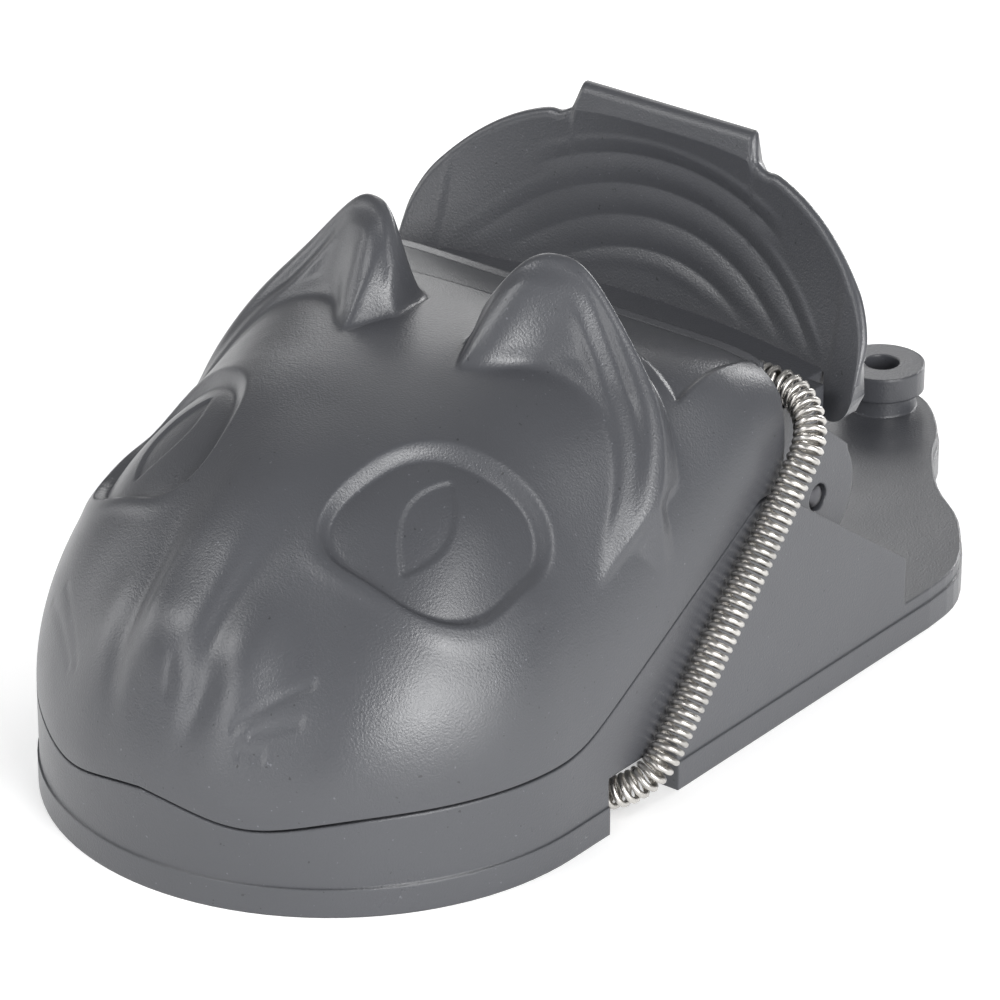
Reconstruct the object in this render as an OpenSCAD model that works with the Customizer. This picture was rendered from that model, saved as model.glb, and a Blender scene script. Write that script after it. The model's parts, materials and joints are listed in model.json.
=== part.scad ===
// Snap mouse trap: a lower jaw with a tail, a cat-headed upper jaw on a hinge pin with a press lever behind it,
// one long tension spring slung round both, and a bait pedal whose post holds the upper jaw open.
// Millimetres. Origin on the floor at the middle of the length and width. The snout points to -Y, +Z is up.

/* [Lower jaw] */
// Width across the foot of the side walls
body_w = 50; // [48:0.5:56]
// Length of the straight side walls, from the centre of the round front to the rear corners
wall_len = 51.4; // [50:0.2:58]
// Length of the tail behind the rear corners
tail_len = 32.4; // [30:0.2:36]
// Thickness of the side walls
wall_t = 2; // [1.6:0.1:2.2]
// Height of the lip at the front and along the cheeks
lip_h = 9; // [8.6:0.1:10.4]
// Depth of the two smile dips in the front lip
smile_depth = 1.65; // [0.8:0.05:1.8]
// Height of the side walls where they peak in front of the hinge
peak_h = 22.4; // [21:0.2:23]
// Distance that the peak stands in front of the hinge axis
peak_lead = 10; // [9:0.2:11]
// Distance that the rear gusset runs behind the hinge axis
gusset_run = 10; // [9:0.2:11.4]
// Height of the gusset's rear end
gusset_h = 8.5; // [7:0.1:9.5]
// Height of the band moulded round the foot
band_h = 2.6; // [2:0.1:3]
// Step by which the walls stand in from the band
band_step = 0.15; // [0.05:0.05:0.3]
// Height of the deck's upper face
deck_h = 6.4; // [6.2:0.1:6.6]
// Height of the tail flange's upper face
flange_h = 3.8; // [3.4:0.1:4.2]
// Thickness of the deck and the flange
plate_t = 1.6; // [1.2:0.1:1.8]

/* [Tail ring] */
// Outer diameter of the tether ring
ring_d = 8; // [7.4:0.1:9]
// Diameter of the tether hole
ring_hole_d = 3.3; // [2.6:0.1:4]
// Height of the ring's upper face
ring_h = 8; // [7:0.1:9]
// Thickness of the ring
ring_t = 2.4; // [1.8:0.1:3]
// Diameter of the neck under the ring
ring_neck_d = 6.6; // [6:0.1:7]

/* [Hinge] */
// Distance of the hinge axis behind the centre of the round front
hinge_setback = 37.4; // [36.8:0.1:38]
// Height of the hinge axis
hinge_h = 17.5; // [17:0.1:18]
// Diameter of the hinge pin
hinge_pin_d = 2.4; // [2:0.1:3]
// Depth at which the pin's ends lie in the knuckles
pin_sink = 0.5; // [0.2:0.1:0.9]
// Radial clearance between a turning bore and its pin
pin_fit = 0.05; // [0.02:0.01:0.09]
// Radius of the knuckles at the foot of the yoke's side plates
knuckle_r = 5.2; // [4.6:0.1:5.4]
// Height of the side walls' peak above the top of the hinge ears
ear_cover = 0.3; // [0.1:0.1:0.6]
// Thickness of each hinge ear
hinge_ear_t = 2.8; // [2.2:0.1:3]
// Thickness of each outer knuckle
knuckle_t = 1.8; // [1.4:0.1:1.9]
// Side clearance between parts that turn past each other
side_gap = 0.4; // [0.3:0.05:0.5]

/* [Upper jaw] */
// Height of the forehead above the centre of the round front
crown_h = 34.1; // [33:0.1:36]
// Height of the back edge, in front of the spring
back_h = 33; // [32.4:0.1:34]
// Distance from the centre of the round front to the back edge
back_setback = 30.4; // [30:0.1:30.6]
// Thickness of the shell
shell_t = 1.8; // [1.4:0.1:2]
// Gap left between the closed jaws
mouth_gap = 0.25; // [0.1:0.05:0.4]
// Height of the ears above the forehead
cat_ear_h = 8; // [7:0.2:9]
// Distance of the ear tips from the middle plane
cat_ear_x = 9.9; // [9:0.1:11]
// Depth of the cup in the front of each ear
cat_ear_cup = 0.45; // [0.2:0.05:0.7]
// Distance of the eye centres from the middle plane
eye_x = 13.9; // [13.4:0.1:14.4]
// Depth of the eye sockets
eye_depth = 0.95; // [0.5:0.05:1.1]
// Rise of the eyeball in its socket
eye_rise = 0.3; // [0:0.05:0.6]
// Height of the nose bridge above the face
bridge_rise = 1.15; // [0.6:0.05:1.6]
// Further height of the nose's tip
tip_rise = 1.35; // [0.8:0.05:1.8]
// Depth of the plain panel behind the ears
panel_depth = 0.4; // [0.2:0.05:0.6]
// Half width of that panel
panel_half = 20.2; // [19:0.1:20.4]

/* [Press lever] */
// Height of the lever's top edge
lever_h = 44.9; // [42:0.2:48]
// Angle at which the lever leans back
lever_lean = 21.3; // [18:0.2:24]
// Thickness of the lever's wall
lever_t = 2; // [1.6:0.1:2.4]
// Depth of the finger hollow
lever_hollow = 4; // [3:0.1:5]
// Width of the thumb tab on top
tab_w = 18.6; // [16:0.2:22]
// Height of the tab above the middle of the rim
tab_rise = 1.8; // [1:0.1:3]
// Width of the smooth band along the rim
rim_band = 1.5; // [1:0.1:2]
// Inset of the rim's back edge
rim_draft = 1.1; // [0.4:0.1:1.4]
// Number of finger ripples
ripple_count = 5; // [3:1:7]
// Height of the finger ripples
ripple_rise = 0.4; // [0.2:0.05:0.6]

/* [Spring] */
// Outer diameter of the spring coil
coil_d = 2.9; // [2.6:0.1:3]
// Diameter of the spring wire
wire_d = 0.56; // [0.46:0.02:0.58]
// Distance between two turns in the stretched legs
coil_pitch = 0.8; // [0.76:0.02:1]
// Radius of the bends at both ends of a leg
bend_r = 5.5; // [5:0.1:6]
// Distance of the lower run behind the centre of the round front
lower_run_setback = 7.1; // [6.6:0.1:7.6]
// Height of the lower run's centre line
lower_run_h = 1.9; // [1.8:0.1:2.1]
// Height of the upper run's centre line
upper_run_h = 29.4; // [29:0.1:29.8]
// Distance of the upper run behind the shell's back edge
upper_run_gap = 2.8; // [2.7:0.05:3]

/* [Trigger] */
// Angle that the pedal swings up to arm the trap
pedal_swing = 6; // [5:0.5:7]
// Distance of the pedal's pivot in front of the hinge axis
pivot_lead = 9.5; // [9.4:0.1:9.6]
// Height of the pedal's pivot
pivot_h = 8.4; // [8.2:0.1:8.8]
// Diameter of the pivot pin
pivot_pin_d = 1.5; // [1.2:0.1:1.8]
// Diameter of the pedal's round treadle
treadle_d = 26; // [22:0.5:28]
// Distance of the treadle's centre in front of the pivot
treadle_lead = 23.5; // [22:0.5:25]
// Thickness of the pedal
pedal_t = 1.2; // [1:0.1:1.4]
// Diameter of the bait cup
cup_d = 11; // [9:0.5:12]
// Height of the bait cup
cup_h = 3.6; // [3:0.1:4]
// Reach of the sear lug from the hinge axis
sear_reach = 9.25; // [9.2:0.01:9.3]
// Angle through which the upper jaw opens
jaw_swing = 60; // [55:1:62]

/* [Hidden] */
$fn = 64;

half_w = body_w / 2;
total_len = half_w + wall_len + tail_len;
nose_y = half_w - total_len / 2;          // centre of the round front
corner_y = nose_y + wall_len;             // where the tail starts to narrow
tail_y = corner_y + tail_len;             // tip of the tail
hinge_y = nose_y + hinge_setback;
back_y = nose_y + back_setback;           // back edge of the shell
wall_w = half_w - band_step;              // half width above the band
inner_w = wall_w - wall_t;                // half width between the side walls
peak_y = hinge_y - peak_lead;
gusset_y = hinge_y + gusset_run;
deck_end_y = gusset_y - wall_t;
ring_y = tail_y - ring_d / 2;
eps = 0.01;
cut_over = 1;                             // distance that a cut runs past the face it opens

// The lip rises along the cheeks to the peak at this slope, starting with a soft bend.
side_slope = 0.56;
rise_round = 1.2;
rise_y = peak_y - 1.9 - (peak_h - lip_h) / side_slope;
smile_x = 9.5;                            // middle of each smile dip
smile_reach = 6.2;

// Stations across the hinge, from the side wall inwards.
knuckle_x = inner_w - side_gap;           // outer face of a knuckle
ear_x = knuckle_x - knuckle_t - side_gap; // outer face of a hinge ear
barrel_x = ear_x - hinge_ear_t - side_gap;
pin_bore_r = hinge_pin_d / 2 + pin_fit;
barrel_r = 3.2;
hinge_ear_r = peak_h - ear_cover - hinge_h;

// The saddle is the deck behind the shell on which the spring and the lever sit.
coil_r = coil_d / 2;
saddle_h = upper_run_h - coil_r;
saddle_w = knuckle_x - knuckle_t;         // half width of the saddle
lever_setback = 8.5;                      // front of the lever's foot, behind the shell's back edge
lever_foot_y = back_y + lever_setback;
lever_half = half_w - band_step;
flank_h = 24.5;                           // lower end of the lever's flanks
rim_h = lever_h - tab_rise;               // height of the rim's arc at the middle plane

// Spring stations: the lower run at N, the upper run at G.
leg_x = half_w + coil_r + 0.2;
run_half = leg_x - bend_r;                // half length of each cross run
lower_run_y = nose_y + lower_run_setback;
upper_run_y = back_y + upper_run_gap;
leg_rise = upper_run_h - lower_run_h;
leg_advance = upper_run_y - lower_run_y;
leg_len = norm([leg_advance, leg_rise]);
leg_angle = atan2(leg_rise, leg_advance);
bend_len = bend_r * PI / 2;
path_len = 2 * bend_len + leg_len - 2 * bend_r;
wire_r = wire_d / 2;

// Trigger stations.
pivot_y = hinge_y - pivot_lead;
pivot_r = pivot_pin_d / 2;
pedal_half = 8.7;                         // half width of the pedal's arm
pedal_h = deck_h + 0.4;                   // underside of the pedal at rest
treadle_y = pivot_y - treadle_lead;
lug_t = 2;                                // thickness of each lug on the deck
sear_t = 1.6;
sear_tilt = 10;                           // angle of the open sear lug below the level
sear_half = 3;
sear_bite = 0.4;                          // hold of the post under the sear lug
sear_tip = [hinge_y - sear_reach * cos(sear_tilt) + sear_t / 2 * sin(sear_tilt),
            hinge_h - sear_reach * sin(sear_tilt) - sear_t / 2 * cos(sear_tilt)];
post_top = [sear_tip.x + sear_bite - pivot_y, sear_tip.y - 0.25 - pivot_h];

plastic = [0.37, 0.38, 0.40];
dark_plastic = [0.30, 0.31, 0.33];
steel = [0.78, 0.78, 0.76];
bait_brown = [0.55, 0.38, 0.22];

// ---- shape functions ------------------------------------------------------------------------------

function smooth(a, b, x) = let (t = max(0, min(1, (x - a) / (b - a)))) t * t * (3 - 2 * t);
function bell(x, r) = exp(-(x / r) * (x / r));
function soft_rise(x) = x > 20 ? x : ln(1 + exp(x));

// Point of a smooth curve between p1 and p2, with p0 and p3 as guides.
function curve_point(p0, p1, p2, p3, t) =
    0.5 * (2 * p1 + (p2 - p0) * t + (2 * p0 - 5 * p1 + 4 * p2 - p3) * t * t
           + (3 * p1 - p0 - 3 * p2 + p3) * t * t * t);
// Smooth curve through pts; the first and last points only guide its ends.
function curve(pts, n) = [
    for (i = [1:len(pts) - 3], k = [0:n - 1]) curve_point(pts[i - 1], pts[i], pts[i + 1], pts[i + 2], k / n),
    pts[len(pts) - 2]];

// Height of the parting line between the jaws.
function smile_dip(x) = smile_depth * bell(abs(x) - smile_x, smile_reach);
function cheek_rise(y) = side_slope * rise_round * soft_rise((y - rise_y) / rise_round);
function lip_z(x, y) = min(peak_h, lip_h + cheek_rise(y)) - (y < nose_y ? smile_dip(x) : 0);

// Outline of the tail: [share of the half width, share of the tail length].
tail_shape = [[1, -0.2], [1, 0], [0.96, 0.185], [0.784, 0.389], [0.576, 0.525], [0.408, 0.691],
              [0.304, 0.833], [0.144, 0.963], [0, 1], [-0.144, 0.963]];
function tail_side(inset, reach) = [
    for (p = curve(tail_shape, 4)) if (p.y <= reach)
        [max(0, p.x * half_w - inset), corner_y + p.y * (tail_len - inset)]];

// ---- helpers --------------------------------------------------------------------------------------

// Extrudes an outline drawn in [Y, Z] along X, and one drawn in [X, Z] along Y.
module along_x(width) { rotate([90, 0, 90]) linear_extrude(width, center = true) children(); }
module along_y(depth) { rotate([90, 0, 0]) linear_extrude(depth, center = true) children(); }
module pin_x(r, length) { rotate([0, 90, 0]) cylinder(r = r, h = length, center = true); }
module both_sides() {
    children();
    mirror([1, 0, 0]) children();
}

// Triangles of a grid of points, mirrored about its middle column, and the numbers round its edge.
function grid_faces(rows, cols, start) = let (n = cols + 1) [
    for (i = [0:rows - 1], j = [0:cols - 1]) let (a = start + i * n + j, b = a + 1, c = b + n, d = a + n)
        each j < cols / 2 ? [[a, d, b], [b, d, c]] : [[a, d, c], [a, c, b]]];
function grid_edge(rows, cols, start) = let (n = cols + 1) concat(
    [for (j = [0:cols - 1]) start + j], [for (i = [0:rows - 1]) start + i * n + cols],
    [for (j = [cols:-1:1]) start + rows * n + j], [for (i = [rows:-1:1]) start + i * n]);
function flipped(faces) = [for (f = faces) [f[2], f[1], f[0]]];

// Wall between a fine grid of points and a coarse one that has every step-th row and column of it.
module walled(fine, coarse, rows, cols, step) {
    start = len(fine);
    edge = grid_edge(rows, cols, 0);
    back_edge = grid_edge(rows / step, cols / step, start);
    seam = [for (k = [0:len(back_edge) - 1])
        let (a = back_edge[k], b = back_edge[(k + 1) % len(back_edge)],
             e = [for (m = [0:step]) edge[(k * step + m) % len(edge)]])
        each concat([[a, e[step / 2], b]], [for (m = [0:step - 1]) [e[m], e[m + 1], m < step / 2 ? a : b]])];
    polyhedron(concat(fine, coarse),
        concat(grid_faces(rows, cols, 0), flipped(grid_faces(rows / step, cols / step, start)), seam));
}

// Floor plan of the round front and the straight sides, as far back as y_end.
module front_plan(inset, y_end) {
    translate([0, nose_y]) circle(r = half_w - inset, $fn = 128);
    translate([inset - half_w, nose_y]) square([body_w - 2 * inset, y_end - nose_y]);
}

// Floor plan of the tail, up to a share of its length.
module tail_plan(inset, reach) {
    side = tail_side(inset, reach);
    polygon(concat([[half_w - inset, corner_y - 1]], side,
                   [for (i = [len(side) - 1:-1:0]) [-side[i].x, side[i].y]],
                   [[inset - half_w, corner_y - 1]]));
}

module whole_plan(inset) {
    front_plan(inset, corner_y);
    tail_plan(inset, 1);
}

// ---- lower jaw ------------------------------------------------------------------------------------

lip_steps = 26;
gusset_end = [gusset_y, gusset_h];

// Side view of the walls: lip, rising cheek, peak and falling gusset.
module wall_outline() {
    front_y = nose_y - half_w - 1;
    polygon(concat([[front_y, 0], [front_y, lip_h]],
                   [for (i = [0:lip_steps]) let (y = rise_y - 5 + (peak_y - rise_y + 5) * i / lip_steps)
                        [y, lip_z(half_w, y)]],
                   [[peak_y + 0.8, peak_h - 0.3], gusset_end, [gusset_y + 0.3, gusset_h - 0.5],
                    [gusset_y + 0.3, 0]]));
}

module smile_cut() {
    translate([0, nose_y - half_w / 2 - 4]) along_y(half_w)
        polygon(concat([for (i = [0:40]) let (x = half_w * (i / 20 - 1)) [x, lip_h - smile_dip(x)]],
                       [[half_w, peak_h], [-half_w, peak_h]]));
}

// Openings in the foot of both side walls where the spring goes under the deck.
notch_front = 2.1;                        // reach of a notch in front of the lower run
notch_back = 7.3;
notch_h = 5.2;
module spring_notches() {
    both_sides() translate([inner_w - wall_t / 2, lower_run_y - notch_front, -cut_over])
        cube([2 * wall_t, notch_front + notch_back, notch_h + cut_over]);
}

module hinge_ears() {
    foot = hinge_ear_r + 1.8;
    both_sides() translate([ear_x - hinge_ear_t / 2, 0, 0]) along_x(hinge_ear_t) {
        translate([hinge_y, hinge_h]) circle(r = hinge_ear_r);
        polygon([[hinge_y - foot, deck_h - 1], [hinge_y + foot, deck_h - 1],
                 [hinge_y + hinge_ear_r, hinge_h], [hinge_y - hinge_ear_r, hinge_h]]);
    }
}

module trigger_lugs() {
    lug_x = pedal_half + side_gap + lug_t / 2;
    lug_r = pivot_r + 1.2;
    both_sides() translate([lug_x, 0, 0]) along_x(lug_t) {
        translate([pivot_y, pivot_h]) circle(r = lug_r);
        translate([pivot_y - lug_r, deck_h - 0.5]) square([2 * lug_r, pivot_h - deck_h + 0.5]);
    }
}

// Cross pad under the deck that the spring's lower run bears on.
module spring_pad() {
    pad_h = deck_h - plate_t - lower_run_h - coil_r;
    translate([0, lower_run_y, lower_run_h + coil_r + pad_h / 2 + eps])
        cube([2 * run_half - 1, 3, pad_h + 2 * eps], center = true);
}

// Stiffening ribs in the hollow of the tail.
module tail_ribs() {
    for (share = [0.12, 0.36])
        translate([0, corner_y + share * tail_len, flange_h - plate_t - 0.6])
            cube([body_w * 0.7, plate_t, 1.3], center = true);
}

module tether_hole() {
    translate([0, ring_y, -cut_over]) cylinder(d = ring_hole_d, h = ring_h + 2 * cut_over);
}

module tail_ring() {
    difference() {
        union() {
            translate([0, ring_y, ring_h - ring_t]) cylinder(d = ring_d, h = ring_t);
            translate([0, ring_y, 0]) cylinder(d = ring_neck_d, h = ring_h - eps);
        }
        tether_hole();
    }
}

module base_shell() {
    under_deck = deck_h - plate_t;
    difference() {
        union() {
            linear_extrude(band_h) whole_plan(0);
            linear_extrude(flange_h) whole_plan(band_step);
            intersection() {
                linear_extrude(peak_h) front_plan(band_step, gusset_y + 0.3);
                along_x(body_w) wall_outline();
            }
        }
        translate([0, 0, deck_h]) linear_extrude(peak_h) front_plan(half_w - inner_w, deck_end_y);
        translate([-inner_w, deck_end_y - eps, flange_h]) cube([2 * inner_w, gusset_y, peak_h]);
        translate([0, 0, -cut_over]) linear_extrude(under_deck + cut_over)
            front_plan(half_w - inner_w, deck_end_y - plate_t);
        translate([0, 0, -cut_over]) linear_extrude(flange_h - plate_t + cut_over) {
            translate([-inner_w, nose_y]) square([2 * inner_w, corner_y - nose_y]);
            tail_plan(half_w - inner_w, 0.62);
        }
        smile_cut();
        spring_notches();
        tether_hole();
    }
}

module base() {
    color(plastic) {
        difference() {
            union() {
                base_shell();
                hinge_ears();
                trigger_lugs();
            }
            translate([0, hinge_y, hinge_h]) pin_x(hinge_pin_d / 2, 2 * inner_w);
            translate([0, pivot_y, pivot_h]) pin_x(pivot_r, 2 * (pedal_half + side_gap + lug_t + cut_over));
        }
        spring_pad();
        tail_ribs();
        tail_ring();
    }
}

module hinge_pin() {
    color(steel) translate([0, hinge_y, hinge_h]) pin_x(hinge_pin_d / 2, 2 * (knuckle_x - pin_sink));
}

module trigger_pin() {
    color(steel) translate([0, pivot_y, pivot_h]) pin_x(pivot_r, 2 * (pedal_half + side_gap + lug_t));
}

// ---- upper jaw ------------------------------------------------------------------------------------

// The face is a dome over the floor plan: a full section at the front that grows squarer towards the back.
front_fall = 0.27;                        // slope of the crown at the centre of the round front
front_bend = 0.004;
back_bend = (crown_h + front_fall * back_setback - back_h) / pow(back_setback, 2);
function crown_z(y) = let (d = y - nose_y)
    crown_h + front_fall * d - (d < 0 ? front_bend : back_bend) * d * d;
function spread(x, y, w) = min(1, (y < nose_y ? norm([x, y - nose_y]) : abs(x)) / w);
function squareness(y) = 2.5 + 2.9 * smooth(nose_y + 4.4, back_y - 1, y) + 5 * smooth(back_y - 13, back_y, y);
function dome_z(x, y, inset) = let (rim = lip_z(x, y) + mouth_gap, u = spread(x, y, wall_w - inset))
    rim + (crown_z(y) - inset - rim) * sqrt(max(0, 1 - pow(u, squareness(y))));

// Eyes: leaning sockets with a soft bevel, wide on top and narrow below, round a low eyeball.
eye_y = nose_y - 3.8;
eye_long = 9.25;
eye_short = 6.2;
eye_turn = 49;
eye_bevel = 0.14;                         // width of the bevel, as a share of the eye, and its gain on top
eye_bevel_top = 0.12;
function eye_relief(x, y) = let (dx = abs(x) - eye_x, dy = y - eye_y,
        along = (dx * cos(eye_turn) + dy * sin(eye_turn)) / eye_long,
        across = (dy * cos(eye_turn) - dx * sin(eye_turn)) / eye_short,
        turn = atan2(across, along),
        r = norm([along, across]) / (1 + 0.05 * cos(4 * turn) + 0.03 * sin(3 * turn)),
        bevel = eye_bevel + eye_bevel_top * pow((1 + cos(turn - 78)) / 2, 1.6))
    r > 1 ? 0 : eye_rise * max(0, 1 - pow(r / (1 - bevel), 2)) - eye_depth * smooth(1, 1 - bevel, r);

// Snout: a bridge that ends in the nose's tip, a hollow under it, and a muzzle with a fold on both sides.
// The functions take the distance from the middle plane and the distance in front of the round front's centre.
bridge_half = 3.2;                        // half width of the bridge at its root, and its gain at the tip
bridge_flare = 1.6;
bridge_lead = 15;                         // where the bridge reaches its full height
tip_lead = 18.1;                          // the nose's tip
tip_reach = 1.7;
hollow_lead = 23;                         // the hollow under the tip
hollow_depth = 2;
muzzle_x = 7.6;                           // middle of the muzzle's bulge
muzzle_lead = 20.2;
muzzle_rise = 0.95;
fold_x = 3.7;                             // the fold beside the nose, level with its tip
fold_slope = 0.29;
fold_rise = 0.65;
function bridge_relief(a, d) = let (half = bridge_half + bridge_flare * smooth(9, 22, d))
    bridge_rise * smooth(1, bridge_lead, d) * smooth(tip_lead + 3.4, tip_lead, d)
        * smooth(half + 1.6, half - 1, a)
    + tip_rise * bell(d - tip_lead, tip_reach) * smooth(bridge_half + bridge_flare, tip_reach, a)
    - hollow_depth * bell(d - hollow_lead, tip_reach) * smooth(4.4, 1.4, a);
function muzzle_relief(a, d) = let (fold = fold_x - fold_slope * (d - tip_lead - 1.2),
        fade = smooth(tip_lead - 0.6, tip_lead + 1.9, d))
    muzzle_rise * bell(a - muzzle_x, 2.7) * bell(d - muzzle_lead, 2.6)
    + fade * fold_rise * (bell(a - fold, 0.9) - bell(a - fold - 1.6, 1));
function snout_relief(x, y) = bridge_relief(abs(x), nose_y - y) + muzzle_relief(abs(x), nose_y - y);

// Ears: a crest over each eye that leans inwards, with a cupped face in front and a round back.
cat_ear_y = nose_y + 18.45;               // foremost place of the crest
cat_ear_bend = 14.2;                      // distance of that place from the middle plane
ear_front = 2.75;                         // reach of the front face
ear_back = 2.6;                           // reach of the back
ear_outer = 5.5;                          // width of the fall towards the cheek
ear_foot_h = 2;                           // height of the ridge that runs out to the cheek
function ear_crest(x) = let (a = abs(x))
    a < cat_ear_x ? cat_ear_h * exp(-pow((cat_ear_x - a) / 5.74, 3.1))
    : (ear_foot_h + (cat_ear_h - ear_foot_h) * bell(a - cat_ear_x, ear_outer)) * smooth(24.6, 22.5, a);
function crest_y(x) = let (a = max(3, min(23, abs(x))))
    cat_ear_y - 0.028 * pow(a - cat_ear_bend, 2) - 0.7 * exp(4 - a) - 0.7 * exp(1.2 * (a - 22));
// Height of the ear at a place, and the depth of its cup there.
function ear_shape(x, y) = let (slope = (crest_y(x + 0.1) - crest_y(x - 0.1)) / 0.2,
        v = (y - crest_y(x)) / norm([1, slope]), share = bell(v, v < 0 ? ear_front : ear_back),
        h = ear_crest(x), below = norm([v, h * (1 - share)]))
    [h * share, v < 0 ? cat_ear_cup * smooth(0.7, 1.6, below) * smooth(0.3, 1.6, h * share) : 0];

// Plain panel between the ears and the back edge.
panel_len = 7.2;
panel_edge = 0.6;                         // width of the step round it
function panel_relief(x, y) = panel_depth * smooth(0, panel_edge, y - back_y + panel_len + 0.008 * x * x)
    * smooth(0, panel_edge, panel_half - abs(x));

// Surface point of the face: the dome, pushed out by its relief and raised by the ears.
function dome_normal(x, y) = let (h = 0.05,
        gx = (dome_z(x + h, y, 0) - dome_z(x - h, y, 0)) / (2 * h),
        gy = (dome_z(x, y + h, 0) - dome_z(x, y - h, 0)) / (2 * h))
    [-gx, -gy, 1] / norm([gx, gy, 1]);
function face_point(x, y) = let (n = dome_normal(x, y), up = n + [0, 0, 1.2], ear = ear_shape(x, y))
    [x, y, dome_z(x, y, 0) - panel_relief(x, y)] + n * (eye_relief(x, y) + snout_relief(x, y))
    + up / norm(up) * ear[0] + [0, 0.86, -0.5] * ear[1];

// The shell is a grid over the floor plan. Its rows are round at the snout, follow the ears' crest and end
// straight at the back edge. Every fourth row and column makes the plain inner face.
front_rows = 22;
brow_rows = 20;                           // from the centre of the round front to the crest
back_rows = 14;
face_rows = front_rows + brow_rows + back_rows;
face_cols = 56;
lining_step = 4;
cheek_round = 1.6;                        // rounding of the back corners
rim_slope = 0.4;                          // rise of the rim towards its inner edge
function eased(t) = (t + sin(90 * t)) / 2;
function bunched(t) = (t + 0.5 * t * t * t) / 1.5;
function face_place(i, j) = let (u = eased(2 * j / face_cols - 1), x = wall_w * u)
    i < front_rows ? let (v = eased(i / front_rows - 1))
        [x * sqrt(1 - v * v / 2), nose_y + wall_w * v * sqrt(1 - u * u / 2)]
    : let (k = i - front_rows, t = k < brow_rows ? k / brow_rows - 1 : (k - brow_rows) / back_rows,
           y = crest_y(x) + bunched(t) * (t < 0 ? crest_y(x) - nose_y : back_y - crest_y(x)),
           turn = smooth(back_y - 2.4, back_y, y))
        [u * (wall_w - cheek_round * (1 - sqrt(1 - turn * turn))), y];
function on_rim(i, j) = i == 0 || j == 0 || j == face_cols;
outer_points = [for (i = [0:face_rows], j = [0:face_cols]) let (p = face_place(i, j))
    on_rim(i, j) ? [p.x, p.y, dome_z(p.x, p.y, 0)] : face_point(p.x, p.y)];
inner_points = [for (i = [0:lining_step:face_rows], j = [0:lining_step:face_cols])
    let (p = face_place(i, j), k = (wall_w - shell_t) / wall_w, x = p.x * k,
         y = p.y < nose_y ? nose_y + (p.y - nose_y) * k : p.y)
    [x, y, dome_z(x, y, shell_t) + (on_rim(i, j) ? rim_slope : 0)]];

module jaw_shell() {
    color(plastic) walled(outer_points, inner_points, face_rows, face_cols, lining_step);
}

// ---- press lever ----------------------------------------------------------------------------------

lever_step = 2;                           // every second row and column makes the plain back
lever_rows = lever_step * ceil((5 * ripple_count + 1) / lever_step);
lever_rake = tan(lever_lean);
// The rim is a flat arch with rounded corners at both flanks and a straight tab on top.
rim_fall = 10.65;                         // fall of the rim from the middle plane to the flanks
rim_power = 3.2;
flank_round = 2.2;
foot_half = saddle_w + 0.1;               // the foot stands on the saddle, and the flanks hang beside it
foot_round = 1.1;
tab_end = tab_w / 2 + 0.9;                // foot of the tab's sloping ends
function flank_turn(x) = let (t = max(0, min(1, (abs(x) - lever_half) / flank_round + 1)))
    flank_round * (1 - sqrt(1 - t * t));
function lever_rim(x) = rim_h - rim_fall * pow(abs(x) / lever_half, rim_power) - flank_turn(x);
function lever_top(x) = let (rim = lever_rim(x))
    rim + (lever_h - rim) * smooth(tab_end, tab_w / 2, abs(x));
function lever_bottom(x) = saddle_h - (saddle_h - flank_h) * smooth(foot_half, foot_half + foot_round, abs(x))
    + flank_turn(x);
// Front face at the share t of the height over the lever's foot.
function lever_front(x, z, t) = let (u = x / half_w)
    lever_foot_y + (z - saddle_h) * lever_rake + lever_hollow * (1 - u * u) * (1 - pow(t, 2.2));
// Finger ripples run with the rim and fade towards the flanks, the foot and the rim.
function ripple(x, t) = ripple_rise * cos(360 * ripple_count * t) * smooth(0, 0.1, t) * smooth(1, 0.85, t)
    * smooth(lever_half - 1, lever_half - 6, abs(x));
// Columns: even over the tab and beside it, closer over the flanks.
half_cols = concat([for (i = [1:6]) tab_w / 2 * i / 6], [tab_end],
                   [for (i = [1:7]) tab_end + (foot_half - tab_end) * i / 7],
                   [for (s = [0.12, 0.27, 0.52, 0.76, 0.92, 1]) foot_half + (lever_half - foot_half) * s]);
lever_stations = concat([for (i = [len(half_cols) - 1:-1:0]) -half_cols[i]], [0], half_cols);
lever_cols = len(lever_stations) - 1;
// The rows end under the rim's smooth band, and the last one is the top edge.
function lever_point(j, i, back) = let (x = lever_stations[i], low = lever_bottom(x), t = j / (lever_rows - 1),
        z = j < lever_rows ? low + (lever_rim(x) - rim_band - low) * t : lever_top(x),
        y = lever_front(x, z, min(1, t)), inset = rim_draft * min(1, t))
    back ? [x * (1 - inset / lever_half), y + lever_t, z - inset] : [x, y - ripple(x, t), z];

module press_lever() {
    color(plastic) walled([for (j = [0:lever_rows], i = [0:lever_cols]) lever_point(j, i, false)],
        [for (j = [0:lever_step:lever_rows], i = [0:lever_step:lever_cols]) lever_point(j, i, true)],
        lever_rows, lever_cols, lever_step);
}

// ---- hinge yoke -----------------------------------------------------------------------------------

// Wall that closes the back of the shell and guides the spring's upper run.
module yoke_wall() {
    top = [for (i = [0:28]) let (x = saddle_w * (i / 14 - 1)) [x, dome_z(x, back_y, 0) - panel_depth]];
    translate([0, back_y + 0.6, 0]) along_y(1.2)
        polygon(concat(top, [[saddle_w, hinge_h + 3.5], [-saddle_w, hinge_h + 3.5]]));
}

module yoke_saddle() {
    foot = [for (i = [0:24]) let (x = saddle_w * (i / 12 - 1)) [x, lever_front(x, saddle_h, 0) + lever_t]];
    translate([0, 0, saddle_h - plate_t]) linear_extrude(plate_t)
        polygon(concat([[-saddle_w, back_y + 1]], foot, [[saddle_w, back_y + 1]]));
}

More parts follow.
